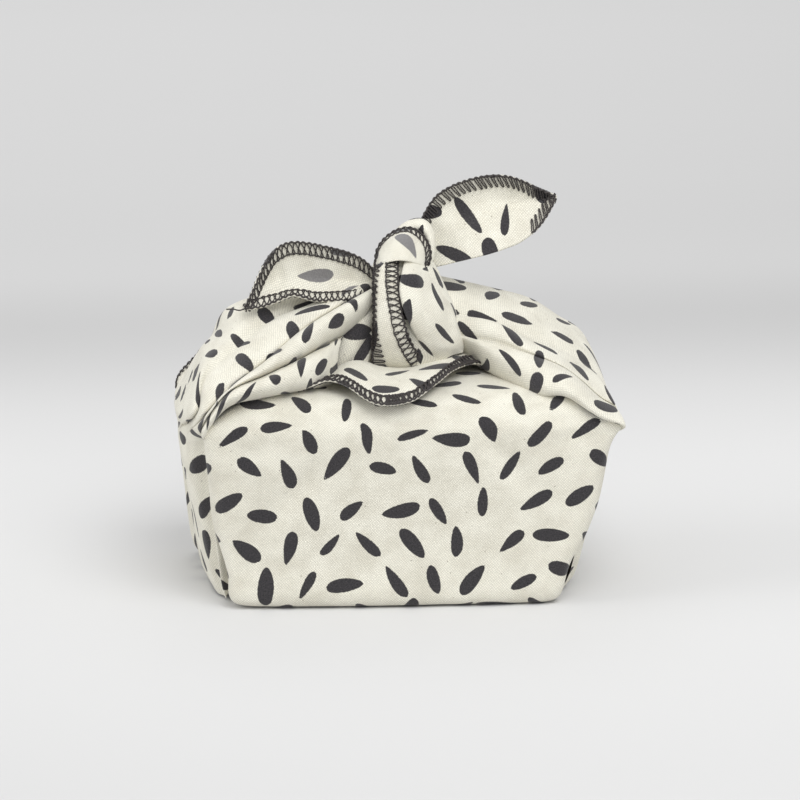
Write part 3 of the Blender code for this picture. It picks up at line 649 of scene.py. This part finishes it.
def cloth_sheet(name, grid, flat, material, held, core, thick=0.0, turned=False):
    """A sheet of printed cloth. With a thickness it gets its other side and a closed rim.

    The printed side faces away from the core point, or towards it if turned.
    """
    rows, cols = grid.shape[:2]
    flat = on_print(name, flat)
    normals = outward_normals(grid, core)
    if (normals * np.cross(np.gradient(grid, axis=0), np.gradient(grid, axis=1))).sum() < 0:
        grid, flat, normals = grid[:, ::-1], flat[:, ::-1], normals[:, ::-1]
    points, places = grid.reshape(-1, 3), flat.reshape(-1, 2)
    faces = grid_faces(rows, cols)
    side = np.zeros(len(points))
    if thick:
        under = (grid - normals * thick).reshape(-1, 3)
        faces = np.r_[faces, grid_faces(rows, cols, len(points))[:, ::-1], rim_faces(rows, cols)]
        points, places = np.r_[points, under], np.r_[places, places]
        side = np.r_[side, np.ones(len(under))]
    if turned:
        side = 1 - side
    piece = mesh_piece(name, points, faces, material)
    mesh = piece.data
    mesh.attributes.new("seed", "FLOAT", "POINT").data.foreach_set("value", seed_distance(places))
    mesh.attributes.new("reverse", "FLOAT", "POINT").data.foreach_set("value", side)
    corners = np.empty(len(mesh.loops), np.int32)
    mesh.loops.foreach_get("vertex_index", corners)
    mesh.uv_layers.new(name="cloth").data.foreach_set("uv", (places[corners] * MM).ravel())


# ============================================================================== hems

def hem_strip(grid):
    """The cloth near its first column: points in lanes at even distances in from the edge."""
    run = np.c_[np.zeros(len(grid)), np.cumsum(steps_along(grid, 1), axis=1)]
    lanes = np.linspace(0.0, HEM_REACH, HEM_LANES)
    return np.array([[np.interp(lanes, run[r], grid[r, :, k]) for k in range(3)]
                     for r in range(len(grid))]).transpose(0, 2, 1)


def between(field, row, lane):
    """A grid's values at places between its rows and its lanes."""
    r, c = np.minimum(row.astype(int), len(field) - 2), lane.astype(int)
    t, s = (row - r)[:, None], (lane - c)[:, None]
    return ((field[r, c] * (1 - s) + field[r, c + 1] * s) * (1 - t)
            + (field[r + 1, c] * (1 - s) + field[r + 1, c + 1] * s) * t)


def on_strip(strip, normals, along, across, height):
    """Points over the hem: so far along the edge, in from it and above the cloth, in mm."""
    run = np.r_[0.0, np.cumsum(steps_along(strip[:, 0], 0))]
    row = np.interp(along, run, np.arange(len(strip)))
    lane = np.clip(across * (HEM_LANES - 1) / HEM_REACH, 0.0, HEM_LANES - 1.001)
    r = np.minimum(row.astype(int), len(strip) - 2)
    inner = unit(strip[r, 2] - strip[r, 0])
    normal = unit(between(normals, row, lane))
    past_edge = inner * np.minimum(across, 0.0)[:, None]
    return between(strip, row, lane) + past_edge + normal * height[:, None], normal


def tube(points, normals, radius, sides=5):
    """A tube along the points, with its rings turned by the cloth's normals."""
    forward = unit(np.gradient(points, axis=0))
    sideways = unit(np.cross(forward, normals))
    up = np.cross(sideways, forward)
    turn = 2 * math.pi * np.arange(sides) / sides
    ring = (points[:, None] + radius * (sideways[:, None] * np.cos(turn)[None, :, None]
                                        + up[:, None] * np.sin(turn)[None, :, None]))
    r, c = np.meshgrid(np.arange(len(points) - 1), np.arange(sides), indexing="ij")
    a, b = (r * sides + c).ravel(), (r * sides + (c + 1) % sides).ravel()
    return ring.reshape(-1, 3), np.stack([a, b, b + sides, a + sides], axis=1)


def overlock(name, grid, material, core, seed=1, span=(0.0, 1.0), both=True, face=LOOP_STITCH,
             radius=THREAD_RADIUS):
    """Three-thread overlock over the cloth's edge at the grid's first column, seen on both its sides."""
    strip = hem_strip(grid)
    outward = outward_normals(strip, core)
    if (outward_normals(grid, core)[:, 0] * outward[:, 0]).sum() < 0:
        outward = -outward
    length = steps_along(strip[:, 0], 0).sum()
    begin, end = span[0] * length, span[1] * length
    count = max(int((end - begin) / STITCH_PITCH), 1)
    pitch = (end - begin) / count
    draw = np.random.default_rng(seed)
    layers = [(face, radius, 1), (EDGE_STITCH, EDGE_THREAD_RADIUS, 1)]
    if face is LOOP_STITCH:
        layers.append((NEEDLE_STITCH, radius, 1))
    if both:
        layers.append((LOOP_STITCH, THREAD_RADIUS, -1))
    points, faces, start = [], [], 0
    for stitch, thread, side in layers:
        path = []
        for k in range(count):
            jog = draw.uniform(-STITCH_JOG, STITCH_JOG)
            for share, across, height in stitch:
                inward = across * draw.uniform(1 - STITCH_SPREAD, 1 + STITCH_SPREAD)
                lift = height if side > 0 else height + CLOTH_THICK
                path.append((begin + (k + share + jog) * pitch, inward, lift))
        path = through(path, np.linspace(0.0, 1.0, 2 * len(path)))
        place, normal = on_strip(strip, outward * side, *path.T)
        ring, quads = tube(place, normal, thread)
        points.append(ring)
        faces.append(quads + start)
        start += len(ring)
    mesh_piece(name, np.concatenate(points), np.concatenate(faces), material)


def loose_thread(name, points, radius, material):
    """A thread end that hangs free of the hem."""
    path = through(points, np.linspace(0.0, 1.0, 8 * len(points)))
    ring, quads = tube(path, np.tile([0.0, -0.3, 1.0], (len(path), 1)), radius)
    mesh_piece(name, ring, quads, material)


# ============================================================================== materials

def linear(code):
    """A colour's sRGB hex code as linear red, green and blue, with alpha 1."""
    values = [int(code[i:i + 2], 16) / 255 for i in (1, 3, 5)]
    return tuple(v / 12.92 if v <= 0.04045 else ((v + 0.055) / 1.055) ** 2.4 for v in values) + (1.0,)


def add_node(tree, kind, inputs=(), **settings):
    """Add a node with its settings. Each input is a socket with its value, or the socket it comes from."""
    node = tree.nodes.new(kind)
    for key, value in settings.items():
        setattr(node, key, value)
    for socket, value in inputs:
        if isinstance(value, bpy.types.NodeSocket):
            tree.links.new(value, node.inputs[socket])
        else:
            node.inputs[socket].default_value = value
    return node


def new_material(name):
    material = bpy.data.materials.new(name)
    material.use_nodes = True
    tree = material.node_tree
    tree.nodes.clear()
    return material, tree


def printed_cotton():
    """Unbleached plain-woven cotton, screen printed: matt, with fine threads and small dark husks."""
    material, tree = new_material("unbleached plain-woven cotton, screen printed")
    uv = add_node(tree, "ShaderNodeUVMap", uv_map="cloth")
    mm = add_node(tree, "ShaderNodeVectorMath", [(0, uv.outputs[0]), (1, (1000.0, 1000.0, 0.0))],
                  operation="MULTIPLY")
    place = (0, mm.outputs[0])
    seed = add_node(tree, "ShaderNodeAttribute", attribute_name="seed")
    back = add_node(tree, "ShaderNodeAttribute", attribute_name="reverse")

    # The two sets of threads, which run at 45 degrees to the folded bundle. At scale 1 a wave's bands
    # lie 2 pi / 20 apart.
    threads = []
    for turn in (45.0, -45.0):
        laid = add_node(tree, "ShaderNodeMapping", [place, ("Rotation", (0.0, 0.0, math.radians(turn)))])
        wave = add_node(tree, "ShaderNodeTexWave", [
            (0, laid.outputs[0]), ("Scale", 2 * math.pi / (WEAVE_PITCH * 20)), ("Distortion", 4.0),
            ("Detail", 3.0), ("Detail Scale", 1.5)], wave_type="BANDS")
        threads.append(wave.outputs["Fac"])
    weave = add_node(tree, "ShaderNodeMath", [(0, threads[0]), (1, threads[1])], operation="MULTIPLY")

    # The print's edge is a little ragged, because the ink sinks between the threads.
    ragged = add_node(tree, "ShaderNodeTexNoise", [place, ("Scale", 1 / RAGGED_PITCH), ("Detail", 3.0)])
    shift = add_node(tree, "ShaderNodeMath", [(0, ragged.outputs["Fac"]), (1, 0.5), (2, -0.25)],
                     operation="MULTIPLY_ADD")
    edge = add_node(tree, "ShaderNodeMath", [(0, seed.outputs["Fac"]), (1, shift.outputs[0])],
                    operation="ADD")
    ink = add_node(tree, "ShaderNodeMapRange", [
        (0, edge.outputs[0]), ("From Min", -0.18), ("From Max", 0.18), ("To Min", 1.0), ("To Max", 0.0)],
        interpolation_type="SMOOTHSTEP")

    # Cream cotton, a little uneven, with specks of husk.
    cloudy = add_node(tree, "ShaderNodeTexNoise", [
        place, ("Scale", 1 / CLOUD_PITCH), ("Detail", 6.0), ("Roughness", 0.62)])
    cloud = add_node(tree, "ShaderNodeMapRange", [
        (0, cloudy.outputs["Fac"]), ("From Min", 0.36), ("From Max", 0.60)])
    cream = add_node(tree, "ShaderNodeMix", [
        ("Factor", cloud.outputs[0]), (6, linear(CREAM_SHADE)), (7, linear(CREAM))], data_type="RGBA")
    slub = add_node(tree, "ShaderNodeTexNoise", [
        place, ("Scale", 1 / SLUB_PITCH), ("Detail", 4.0), ("Roughness", 0.85)])
    thread_tone = add_node(tree, "ShaderNodeMix", [
        ("Factor", slub.outputs["Fac"]), (2, weave.outputs[0]), (3, 0.5)])
    grain = add_node(tree, "ShaderNodeMapRange", [
        (0, thread_tone.outputs[0]), ("From Min", 0.15), ("From Max", 0.75), ("To Min", 0.70),
        ("To Max", 1.13)])
    toned = add_node(tree, "ShaderNodeMix", [
        ("Factor", 1.0), (6, cream.outputs[2]), (7, grain.outputs[0])], data_type="RGBA",
        blend_type="MULTIPLY")
    husk = add_node(tree, "ShaderNodeTexVoronoi", [place, ("Scale", 1 / HUSK_PITCH)])
    husk_size = add_node(tree, "ShaderNodeMapRange", [
        (0, husk.outputs["Distance"]), ("From Min", 0.045), ("From Max", 0.07), ("To Min", 0.55),
        ("To Max", 0.0)])
    specked = add_node(tree, "ShaderNodeMix", [
        ("Factor", husk_size.outputs[0]), (6, toned.outputs[2]), (7, linear(SPECK))], data_type="RGBA")

    # Charcoal ink, a little worn on the threads' tops; on the reverse it comes through as grey grains.
    worn = add_node(tree, "ShaderNodeTexNoise", [
        place, ("Scale", 1 / WEAR_PITCH), ("Detail", 4.0), ("Roughness", 0.7)])
    ink_tone = add_node(tree, "ShaderNodeMapRange", [
        (0, worn.outputs["Fac"]), ("From Min", 0.36), ("From Max", 0.70)])
    inked = add_node(tree, "ShaderNodeMix", [
        ("Factor", ink_tone.outputs[0]), (6, linear(CHARCOAL)), (7, linear(CHARCOAL_WORN))],
        data_type="RGBA")
    grained = add_node(tree, "ShaderNodeMix", [
        ("Factor", worn.outputs["Fac"]), (6, linear(REVERSE_SEED)), (7, linear(REVERSE_SEED_LIGHT))],
        data_type="RGBA")
    through_cloth = add_node(tree, "ShaderNodeMix", [
        ("Factor", back.outputs["Fac"]), (6, inked.outputs[2]), (7, grained.outputs[2])], data_type="RGBA")
    colour = add_node(tree, "ShaderNodeMix", [
        ("Factor", ink.outputs[0]), (6, specked.outputs[2]), (7, through_cloth.outputs[2])],
        data_type="RGBA")

    bump = add_node(tree, "ShaderNodeBump", [
        ("Height", weave.outputs[0]), ("Strength", 0.35), ("Distance", 0.2 * MM)])
    shader = add_node(tree, "ShaderNodeBsdfPrincipled", [
        ("Base Color", colour.outputs[2]), ("Normal", bump.outputs[0]), ("Roughness", 0.9), ("IOR", 1.47),
        ("Sheen Weight", 0.15), ("Sheen Roughness", 0.6)])
    add_node(tree, "ShaderNodeOutputMaterial", [(0, shader.outputs[0])])
    return material


def hem_thread():
    """Spun polyester sewing thread, dyed dark: two plies twisted, a dull sheen."""
    material, tree = new_material("spun polyester sewing thread, dark")
    place = add_node(tree, "ShaderNodeTexCoord")
    fuzz = add_node(tree, "ShaderNodeTexNoise", [
        (0, place.outputs["Object"]), ("Scale", 1 / (FUZZ_PITCH * MM)), ("Detail", 2.0)])
    tone = add_node(tree, "ShaderNodeMix", [
        ("Factor", fuzz.outputs["Fac"]), (6, linear(THREAD_DARK)), (7, linear(THREAD_LIGHT))],
        data_type="RGBA")
    bump = add_node(tree, "ShaderNodeBump", [
        ("Height", fuzz.outputs["Fac"]), ("Strength", 0.4), ("Distance", 0.1 * MM)])
    shader = add_node(tree, "ShaderNodeBsdfPrincipled", [
        ("Base Color", tone.outputs[2]), ("Normal", bump.outputs[0]), ("Roughness", 0.7), ("IOR", 1.55)])
    add_node(tree, "ShaderNodeOutputMaterial", [(0, shader.outputs[0])])
    return material


def paper_with_painted_shade():
    """Matt pale backdrop paper, with painted shade in its colour by how far back it lies, and a soft grey
    band of painted shade some way behind the bundle.
    """
    material, tree = new_material("matt backdrop paper with painted shade")
    place = add_node(tree, "ShaderNodeNewGeometry")
    axes = add_node(tree, "ShaderNodeSeparateXYZ", [(0, place.outputs["Position"])])
    depth = add_node(tree, "ShaderNodeMapRange", [
        (0, axes.outputs["Y"]), ("From Min", PAPER_NEAR), ("From Max", PAPER_FAR)])
    # This colour ramp is painted shade, darker or lighter by how far back the paper lies.
    tone = add_node(tree, "ShaderNodeValToRGB", [(0, depth.outputs[0])])
    tone.color_ramp.interpolation = "B_SPLINE"
    while len(tone.color_ramp.elements) < len(PAPER_PAINTED_SHADE):
        tone.color_ramp.elements.new(0.5)
    for stop, (far, code) in zip(tone.color_ramp.elements, PAPER_PAINTED_SHADE):
        stop.position, stop.color = (far - PAPER_NEAR) / (PAPER_FAR - PAPER_NEAR), linear(code)
    shader = add_node(tree, "ShaderNodeBsdfPrincipled", [
        ("Base Color", tone.outputs["Color"]), ("Roughness", 0.95), ("Specular IOR Level", 0.2)])
    add_node(tree, "ShaderNodeOutputMaterial", [(0, shader.outputs[0])])
    return material


# ============================================================================== the body

def box_at(z):
    rows = np.array(BOX_ROWS)
    return named(BOX_COLUMNS, [np.interp(z, rows[:, 0], rows[:, k]) for k in range(rows.shape[1])])


def joined_ring(halves, steps, bow, z):
    """A panel at one height: its two folded sides, joined by its face, which bows out."""
    t = np.linspace(0.0, 1.0, steps + 1)[1:-1, None]
    face = halves[0][-1] * (1 - t) + halves[1][-1] * t
    face[:, 1] += bow * np.sin(math.pi * t[:, 0])
    loop = np.r_[halves[0], face, halves[1][::-1]]
    return np.c_[loop, np.full(len(loop), z)]


def front_ring(row):
    """The front panel at one height: from the left end's middle, round its two folded sides."""
    box = box_at(row["z"])
    middle, rim = (box["front"] + box["back"]) / 2, row["radius"]
    halves = []
    for word, inner in (("left", 1), ("right", -1)):
        fore = row["front_" + word]
        end = ((box["front_" + word] + box["back_" + word]) / 2, middle)
        corner = np.array([row[word], fore])
        groove = (row[word] + inner * row[word + "_groove"], fore + rim + GROOVE_DEEPEST)
        back = (box["front_" + word] + inner, fore + rim + GROOVE_END)
        turn = bent(corner + (0.0, rim), corner, corner + (inner * rim, 0.0), TURN_STEPS)
        side = through((end, back, groove, turn[0]), np.linspace(0.0, 1.0, 26))
        halves.append(np.r_[side[:-1], turn])
    return joined_ring(halves, FRONT_STEPS, -SIDE_BOW, row["z"])


def back_ring(row):
    """The back panel at one height, from the right end's middle to the left end's."""
    middle, rim = (row["front"] + row["back"]) / 2, row["radius"]
    halves = []
    for word, inner in (("right", -1), ("left", 1)):
        corner = np.array([row["back_" + word], row["back"]])
        end = np.array([(row["front_" + word] + row["back_" + word]) / 2, middle])
        turn = bent(corner - (0.0, rim), corner, corner + (inner * rim, 0.0), TURN_STEPS)
        t = np.linspace(0.0, 1.0, 15)[:-1, None]
        halves.append(np.r_[end * (1 - t) + turn[0] * t, turn])
    return joined_ring(halves, BACK_STEPS, SIDE_BOW, row["z"])


def body_panel(table, columns, ring):
    """One half of the cloth under the wings, from the middle of the base up to the middle of the top."""
    heights = even_shares(np.array(table)[:, [0, 1, 3]], PANEL_RINGS)
    rings = [ring(named(columns, values)) for values in through(table, heights)]
    foot, top, middle = rings[0], rings[-1], np.array(LID_MIDDLE)
    base = [foot * (k, k, 1) for k in np.linspace(0.02, 1.0, CLOSING_RINGS)[:-1]]
    lid = [top + (middle - top) * k for k in np.linspace(0.0, 0.98, CLOSING_RINGS)[1:]]
    return np.array(base + rings + lid)


# ============================================================================== the wings

def wall_point(side, share, z, proud):
    """A place on the end of the bundle, so far across it and so high, standing off the box."""
    row = box_at(z)
    word = "left" if side < 0 else "right"
    inset = row["radius"] * WALL_INSET
    front = np.array([row["front_" + word], row["front"] + inset, z])
    back = np.array([row["back_" + word], row["back"] - inset, z])
    bow = SIDE_BOW * math.sin(math.pi * share)
    return front + (back - front) * share + np.array([side * (proud + bow), 0.0, 0.0])


def wing_grid(side, table):
    """A wing: soft on the end of the bundle, then drawn into crisp pleats on its way to the knot."""
    lines = []
    for values in table:
        row = named(WING_COLUMNS, values)
        wall = [wall_point(side, row["share"], z, proud) for z, proud in zip(WALL_LEVELS, row["proud"])]
        lines.append(wall + [np.array(row[column], float) for column in WING_COLUMNS[3:]])
    lines = np.array(lines).transpose(1, 0, 2)
    shares = even_shares(lines[:, len(table) // 2], WING_ROWS)
    at = through(lines, shares)
    turn = math.pi * np.linspace(0.0, 1.0, PLEAT_STEPS + 1)[None, :, None]
    pleats = []
    for i in range(0, len(table) - 2, 2):
        valley, crest, last = at[:, i, None], at[:, i + 1, None], at[:, i + 2, None]
        middle, half = (valley + last) / 2, (last - valley) / 2
        arch = middle - half * np.cos(turn) + (crest - middle) * np.sin(turn) ** PLEAT_FULLNESS
        pleats.append(arch[:, (1 if i else 0):])
    crisp = np.concatenate(pleats, axis=1)
    soft = through(at.transpose(1, 0, 2), np.linspace(0.0, 1.0, crisp.shape[1])).transpose(1, 0, 2)
    station = shares * (len(lines) - 1)
    drawn = np.clip(station - len(WALL_LEVELS) + PLEATS_START, 0.0, 1.0)[:, None, None]
    return soft + (crisp - soft) * drawn**2 * (3 - 2 * drawn)


def back_hem(grid, table):
    """The part of a wing in from its back fold, above the end of the bundle, where its hem shows."""
    fold = (len(table) - 2) * PLEAT_STEPS // 2
    above = np.flatnonzero(grid[:, fold, 2] > BACK_HEM_HEIGHT)[0]
    return grid[above:, fold::-1]


# ============================================================================== the knot

def squared(angle, power):
    c, s = np.cos(angle), np.sin(angle)
    return np.sign(c) * np.abs(c) ** power, np.sign(s) * np.abs(s) ** power


def pouch_grid(rows=70, around=150):
    """The knot's core: a pouch with squarish rings."""
    z, left, right, front, back = through(POUCH_ROWS, np.linspace(0.0, 1.0, rows)).T[..., None]
    c, s = squared(np.linspace(-math.pi, math.pi, around) + math.pi / 2, 0.85)
    cx, cy = (left + right) / 2, (front + back) / 2
    x = cx + c * (right - cx)
    y = cy + s * (back - cy)
    return np.stack([x, y, z + 0 * x], axis=2)


def tube_grid(table, along=60, around=60):
    """A rolled fold, as a tube with oval rings."""
    at = through(table, np.linspace(0.0, 1.0, along))
    forward = unit(np.gradient(at[:, :3], axis=0))
    across = unit(np.cross([0.0, 1.0, 0.0], forward))
    deep = np.cross(forward, across)
    turn = np.linspace(0.0, 2 * math.pi, around)[None, :, None]
    return (at[:, None, :3] + across[:, None] * at[:, None, 3:4] * np.cos(turn)
            + deep[:, None] * at[:, None, 4:5] * np.sin(turn))


# ============================================================================== stage

def build_stage():
    """A wide flat sheet of pale paper, which the bundle stands on."""
    mesh = bpy.data.meshes.new("studio_paper")
    mesh.from_pydata([(-PAPER_SIDES, PAPER_FRONT, 0.0), (PAPER_SIDES, PAPER_FRONT, 0.0),
                      (PAPER_SIDES, PAPER_BACK, 0.0), (-PAPER_SIDES, PAPER_BACK, 0.0)], [], [(0, 1, 2, 3)])
    paper = bpy.data.objects.new("studio_paper", mesh)
    bpy.context.scene.collection.objects.link(paper)
    mesh.materials.append(paper_with_painted_shade())


def build_lights():
    for name, place, aim, size, watts in LIGHTS:
        data = bpy.data.lights.new(name, "AREA")
        data.shape, data.size, data.energy = "DISK", size, watts
        lamp = bpy.data.objects.new(name, data)
        lamp.location = place
        lamp.rotation_euler = (Vector(aim) - Vector(place)).to_track_quat("-Z", "Y").to_euler()
        bpy.context.scene.collection.objects.link(lamp)
    world = bpy.data.worlds.new("pale studio")
    world.use_nodes = True
    world.node_tree.nodes["Background"].inputs["Color"].default_value = (1.0, 1.0, 1.0, 1.0)
    world.node_tree.nodes["Background"].inputs["Strength"].default_value = ROOM_LIGHT
    bpy.context.scene.world = world
    bpy.context.scene.view_settings.view_transform = "Standard"


def build_camera():
    a, e = math.radians(AZIMUTH), math.radians(ELEVATION)
    back = Vector((math.sin(a) * math.cos(e), -math.cos(a) * math.cos(e), math.sin(e)))
    data = bpy.data.cameras.new("camera")
    data.sensor_width, data.lens = SENSOR, LENS
    camera = bpy.data.objects.new("camera", data)
    camera.location = AIM + back * DISTANCE
    camera.rotation_euler = (-back).to_track_quat("-Z", "Y").to_euler()
    bpy.context.scene.collection.objects.link(camera)
    bpy.context.scene.camera = camera


# ============================================================================== the bundle

def wrap_body(cotton):
    """The front panel, with its two folded sides, and the back panel."""
    front = pressed(body_panel(PANEL_ROWS, PANEL_COLUMNS, front_ring), FRONT_CREASES, BODY_CORE)
    back = body_panel(BOX_ROWS, BOX_COLUMNS, back_ring)
    for name, grid in (("front_panel", front), ("back_panel", back)):
        cloth_sheet(name, grid, lay_flat(grid), cotton, "stretched", BODY_CORE)


def gather_wings(cotton, dark):
    """The two side corners, gathered up the ends of the bundle, with their hems behind."""
    left = pressed(wing_grid(-1, LEFT_WING), LEFT_CREASES, BODY_CORE)
    cloth_sheet("left_wing", left, lay_flat(left, LEFT_STRAIGHT, LEFT_LOOSE), cotton, "gathered", BODY_CORE)
    right = pressed(wing_grid(1, RIGHT_WING), RIGHT_CREASES, BODY_CORE)
    cloth_sheet("right_wing", right, lay_flat(right), cotton, "gathered", BODY_CORE)
    for name, wing, table, seed in (("back_hem_left", left, LEFT_WING, 13),
                                    ("back_hem_right", right, RIGHT_WING, 14)):
        overlock(name, back_hem(wing, table), dark, BODY_CORE, seed=seed, span=BACK_HEM_SPAN, both=False,
                 face=BAR_STITCH)


def lay_corner_flap(cotton, dark):
    """The front corner, folded over the top, with its hem sewn over twice at the tip."""
    flap = leaf_grid(FLAP, 150, 44)
    cloth_sheet("corner_flap", flap, lay_plan(flap, (1, 0, 0), (0, 1, 0)), cotton, "laid", BODY_CORE,
                thick=CLOTH_THICK)
    overlock("flap_hem", flap, dark, BODY_CORE, seed=3, radius=FLAP_THREAD_RADIUS)
    overlock("flap_corner_lockdown", flap, dark, BODY_CORE, seed=21, span=LOCKDOWN_SPAN,
             radius=LOCKDOWN_THREAD_RADIUS)


def tie_knot(cotton, dark):
    """The knot: its core, the wrap and strip down its front, the hood over them, and the small folds."""
    def folded(name, grid, core=KNOT_CORE, **sides):
        cloth_sheet(name, grid, lay_flat(grid), cotton, "folded", core, **sides)

    folded("knot_core", pouch_grid())
    folded("knot_wrap", pressed(leaf_grid(WRAP, 80, 90), KNOT_CREASES, KNOT_CORE))
    folded("knot_inner_fold", leaf_grid(INNER_FOLD, 50, 24))
    strip = leaf_grid(STRIP, 80, 50)
    folded("knot_strip", strip, thick=CLOTH_THICK)
    overlock("knot_hem_left", strip, dark, KNOT_CORE, seed=5, both=False, face=BAR_STITCH)
    overlock("knot_hem_right", strip[:, ::-1], dark, KNOT_CORE, seed=6, both=False)
    hood = leaf_grid(HOOD, 80, 50)
    folded("knot_hood", hood, thick=CLOTH_THICK, turned=True)
    overlock("knot_hood_hem", hood, dark, KNOT_CORE, seed=9, both=False)
    for name, table in (("knot_roll", ROLL), ("knot_tuck", TUCK), ("knot_side_tuck", SIDE_TUCK)):
        folded(name, tube_grid(table), core=np.mean(table, axis=0)[:3])


def hang_ears(cotton, dark):
    """The cloth's two tied corners: the left one shows its reverse, the right one its print."""
    left = leaf_grid(LEFT_EAR, 110, 60)
    cloth_sheet("left_ear", left, lay_plan(left, (1, 0, 0), (0, 0, 1)), cotton, "hung", BEHIND_LEFT_EAR,
                thick=CLOTH_THICK, turned=True)
    overlock("left_ear_hem_upper", left, dark, BEHIND_LEFT_EAR, seed=7)
    overlock("left_ear_hem_lower", left[:, ::-1], dark, BEHIND_LEFT_EAR, seed=8)
    right = pressed(leaf_grid(RIGHT_EAR, 110, 60), EAR_CREASES, BEHIND_RIGHT_EAR)
    cloth_sheet("right_ear", right, lay_plan(right, (1, 0, 0), (0, 0, 1)), cotton, "hung", BEHIND_RIGHT_EAR,
                thick=CLOTH_THICK)
    overlock("right_ear_hem_upper", right, dark, BEHIND_RIGHT_EAR, seed=11, face=BAR_STITCH)
    overlock("right_ear_hem_tip", right[:, ::-1], dark, BEHIND_RIGHT_EAR, seed=12, span=EAR_TIP_SPAN,
             face=BAR_STITCH)
    loose_thread("ear_thread_end", EAR_THREAD_END, LOOSE_THREAD_RADIUS, dark)


def main():
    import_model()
    build_camera()
    build_lights()
    build_stage()
    cotton, dark = printed_cotton(), hem_thread()
    wrap_body(cotton)
    gather_wings(cotton, dark)
    lay_corner_flap(cotton, dark)
    tie_knot(cotton, dark)
    hang_ears(cotton, dark)


main()
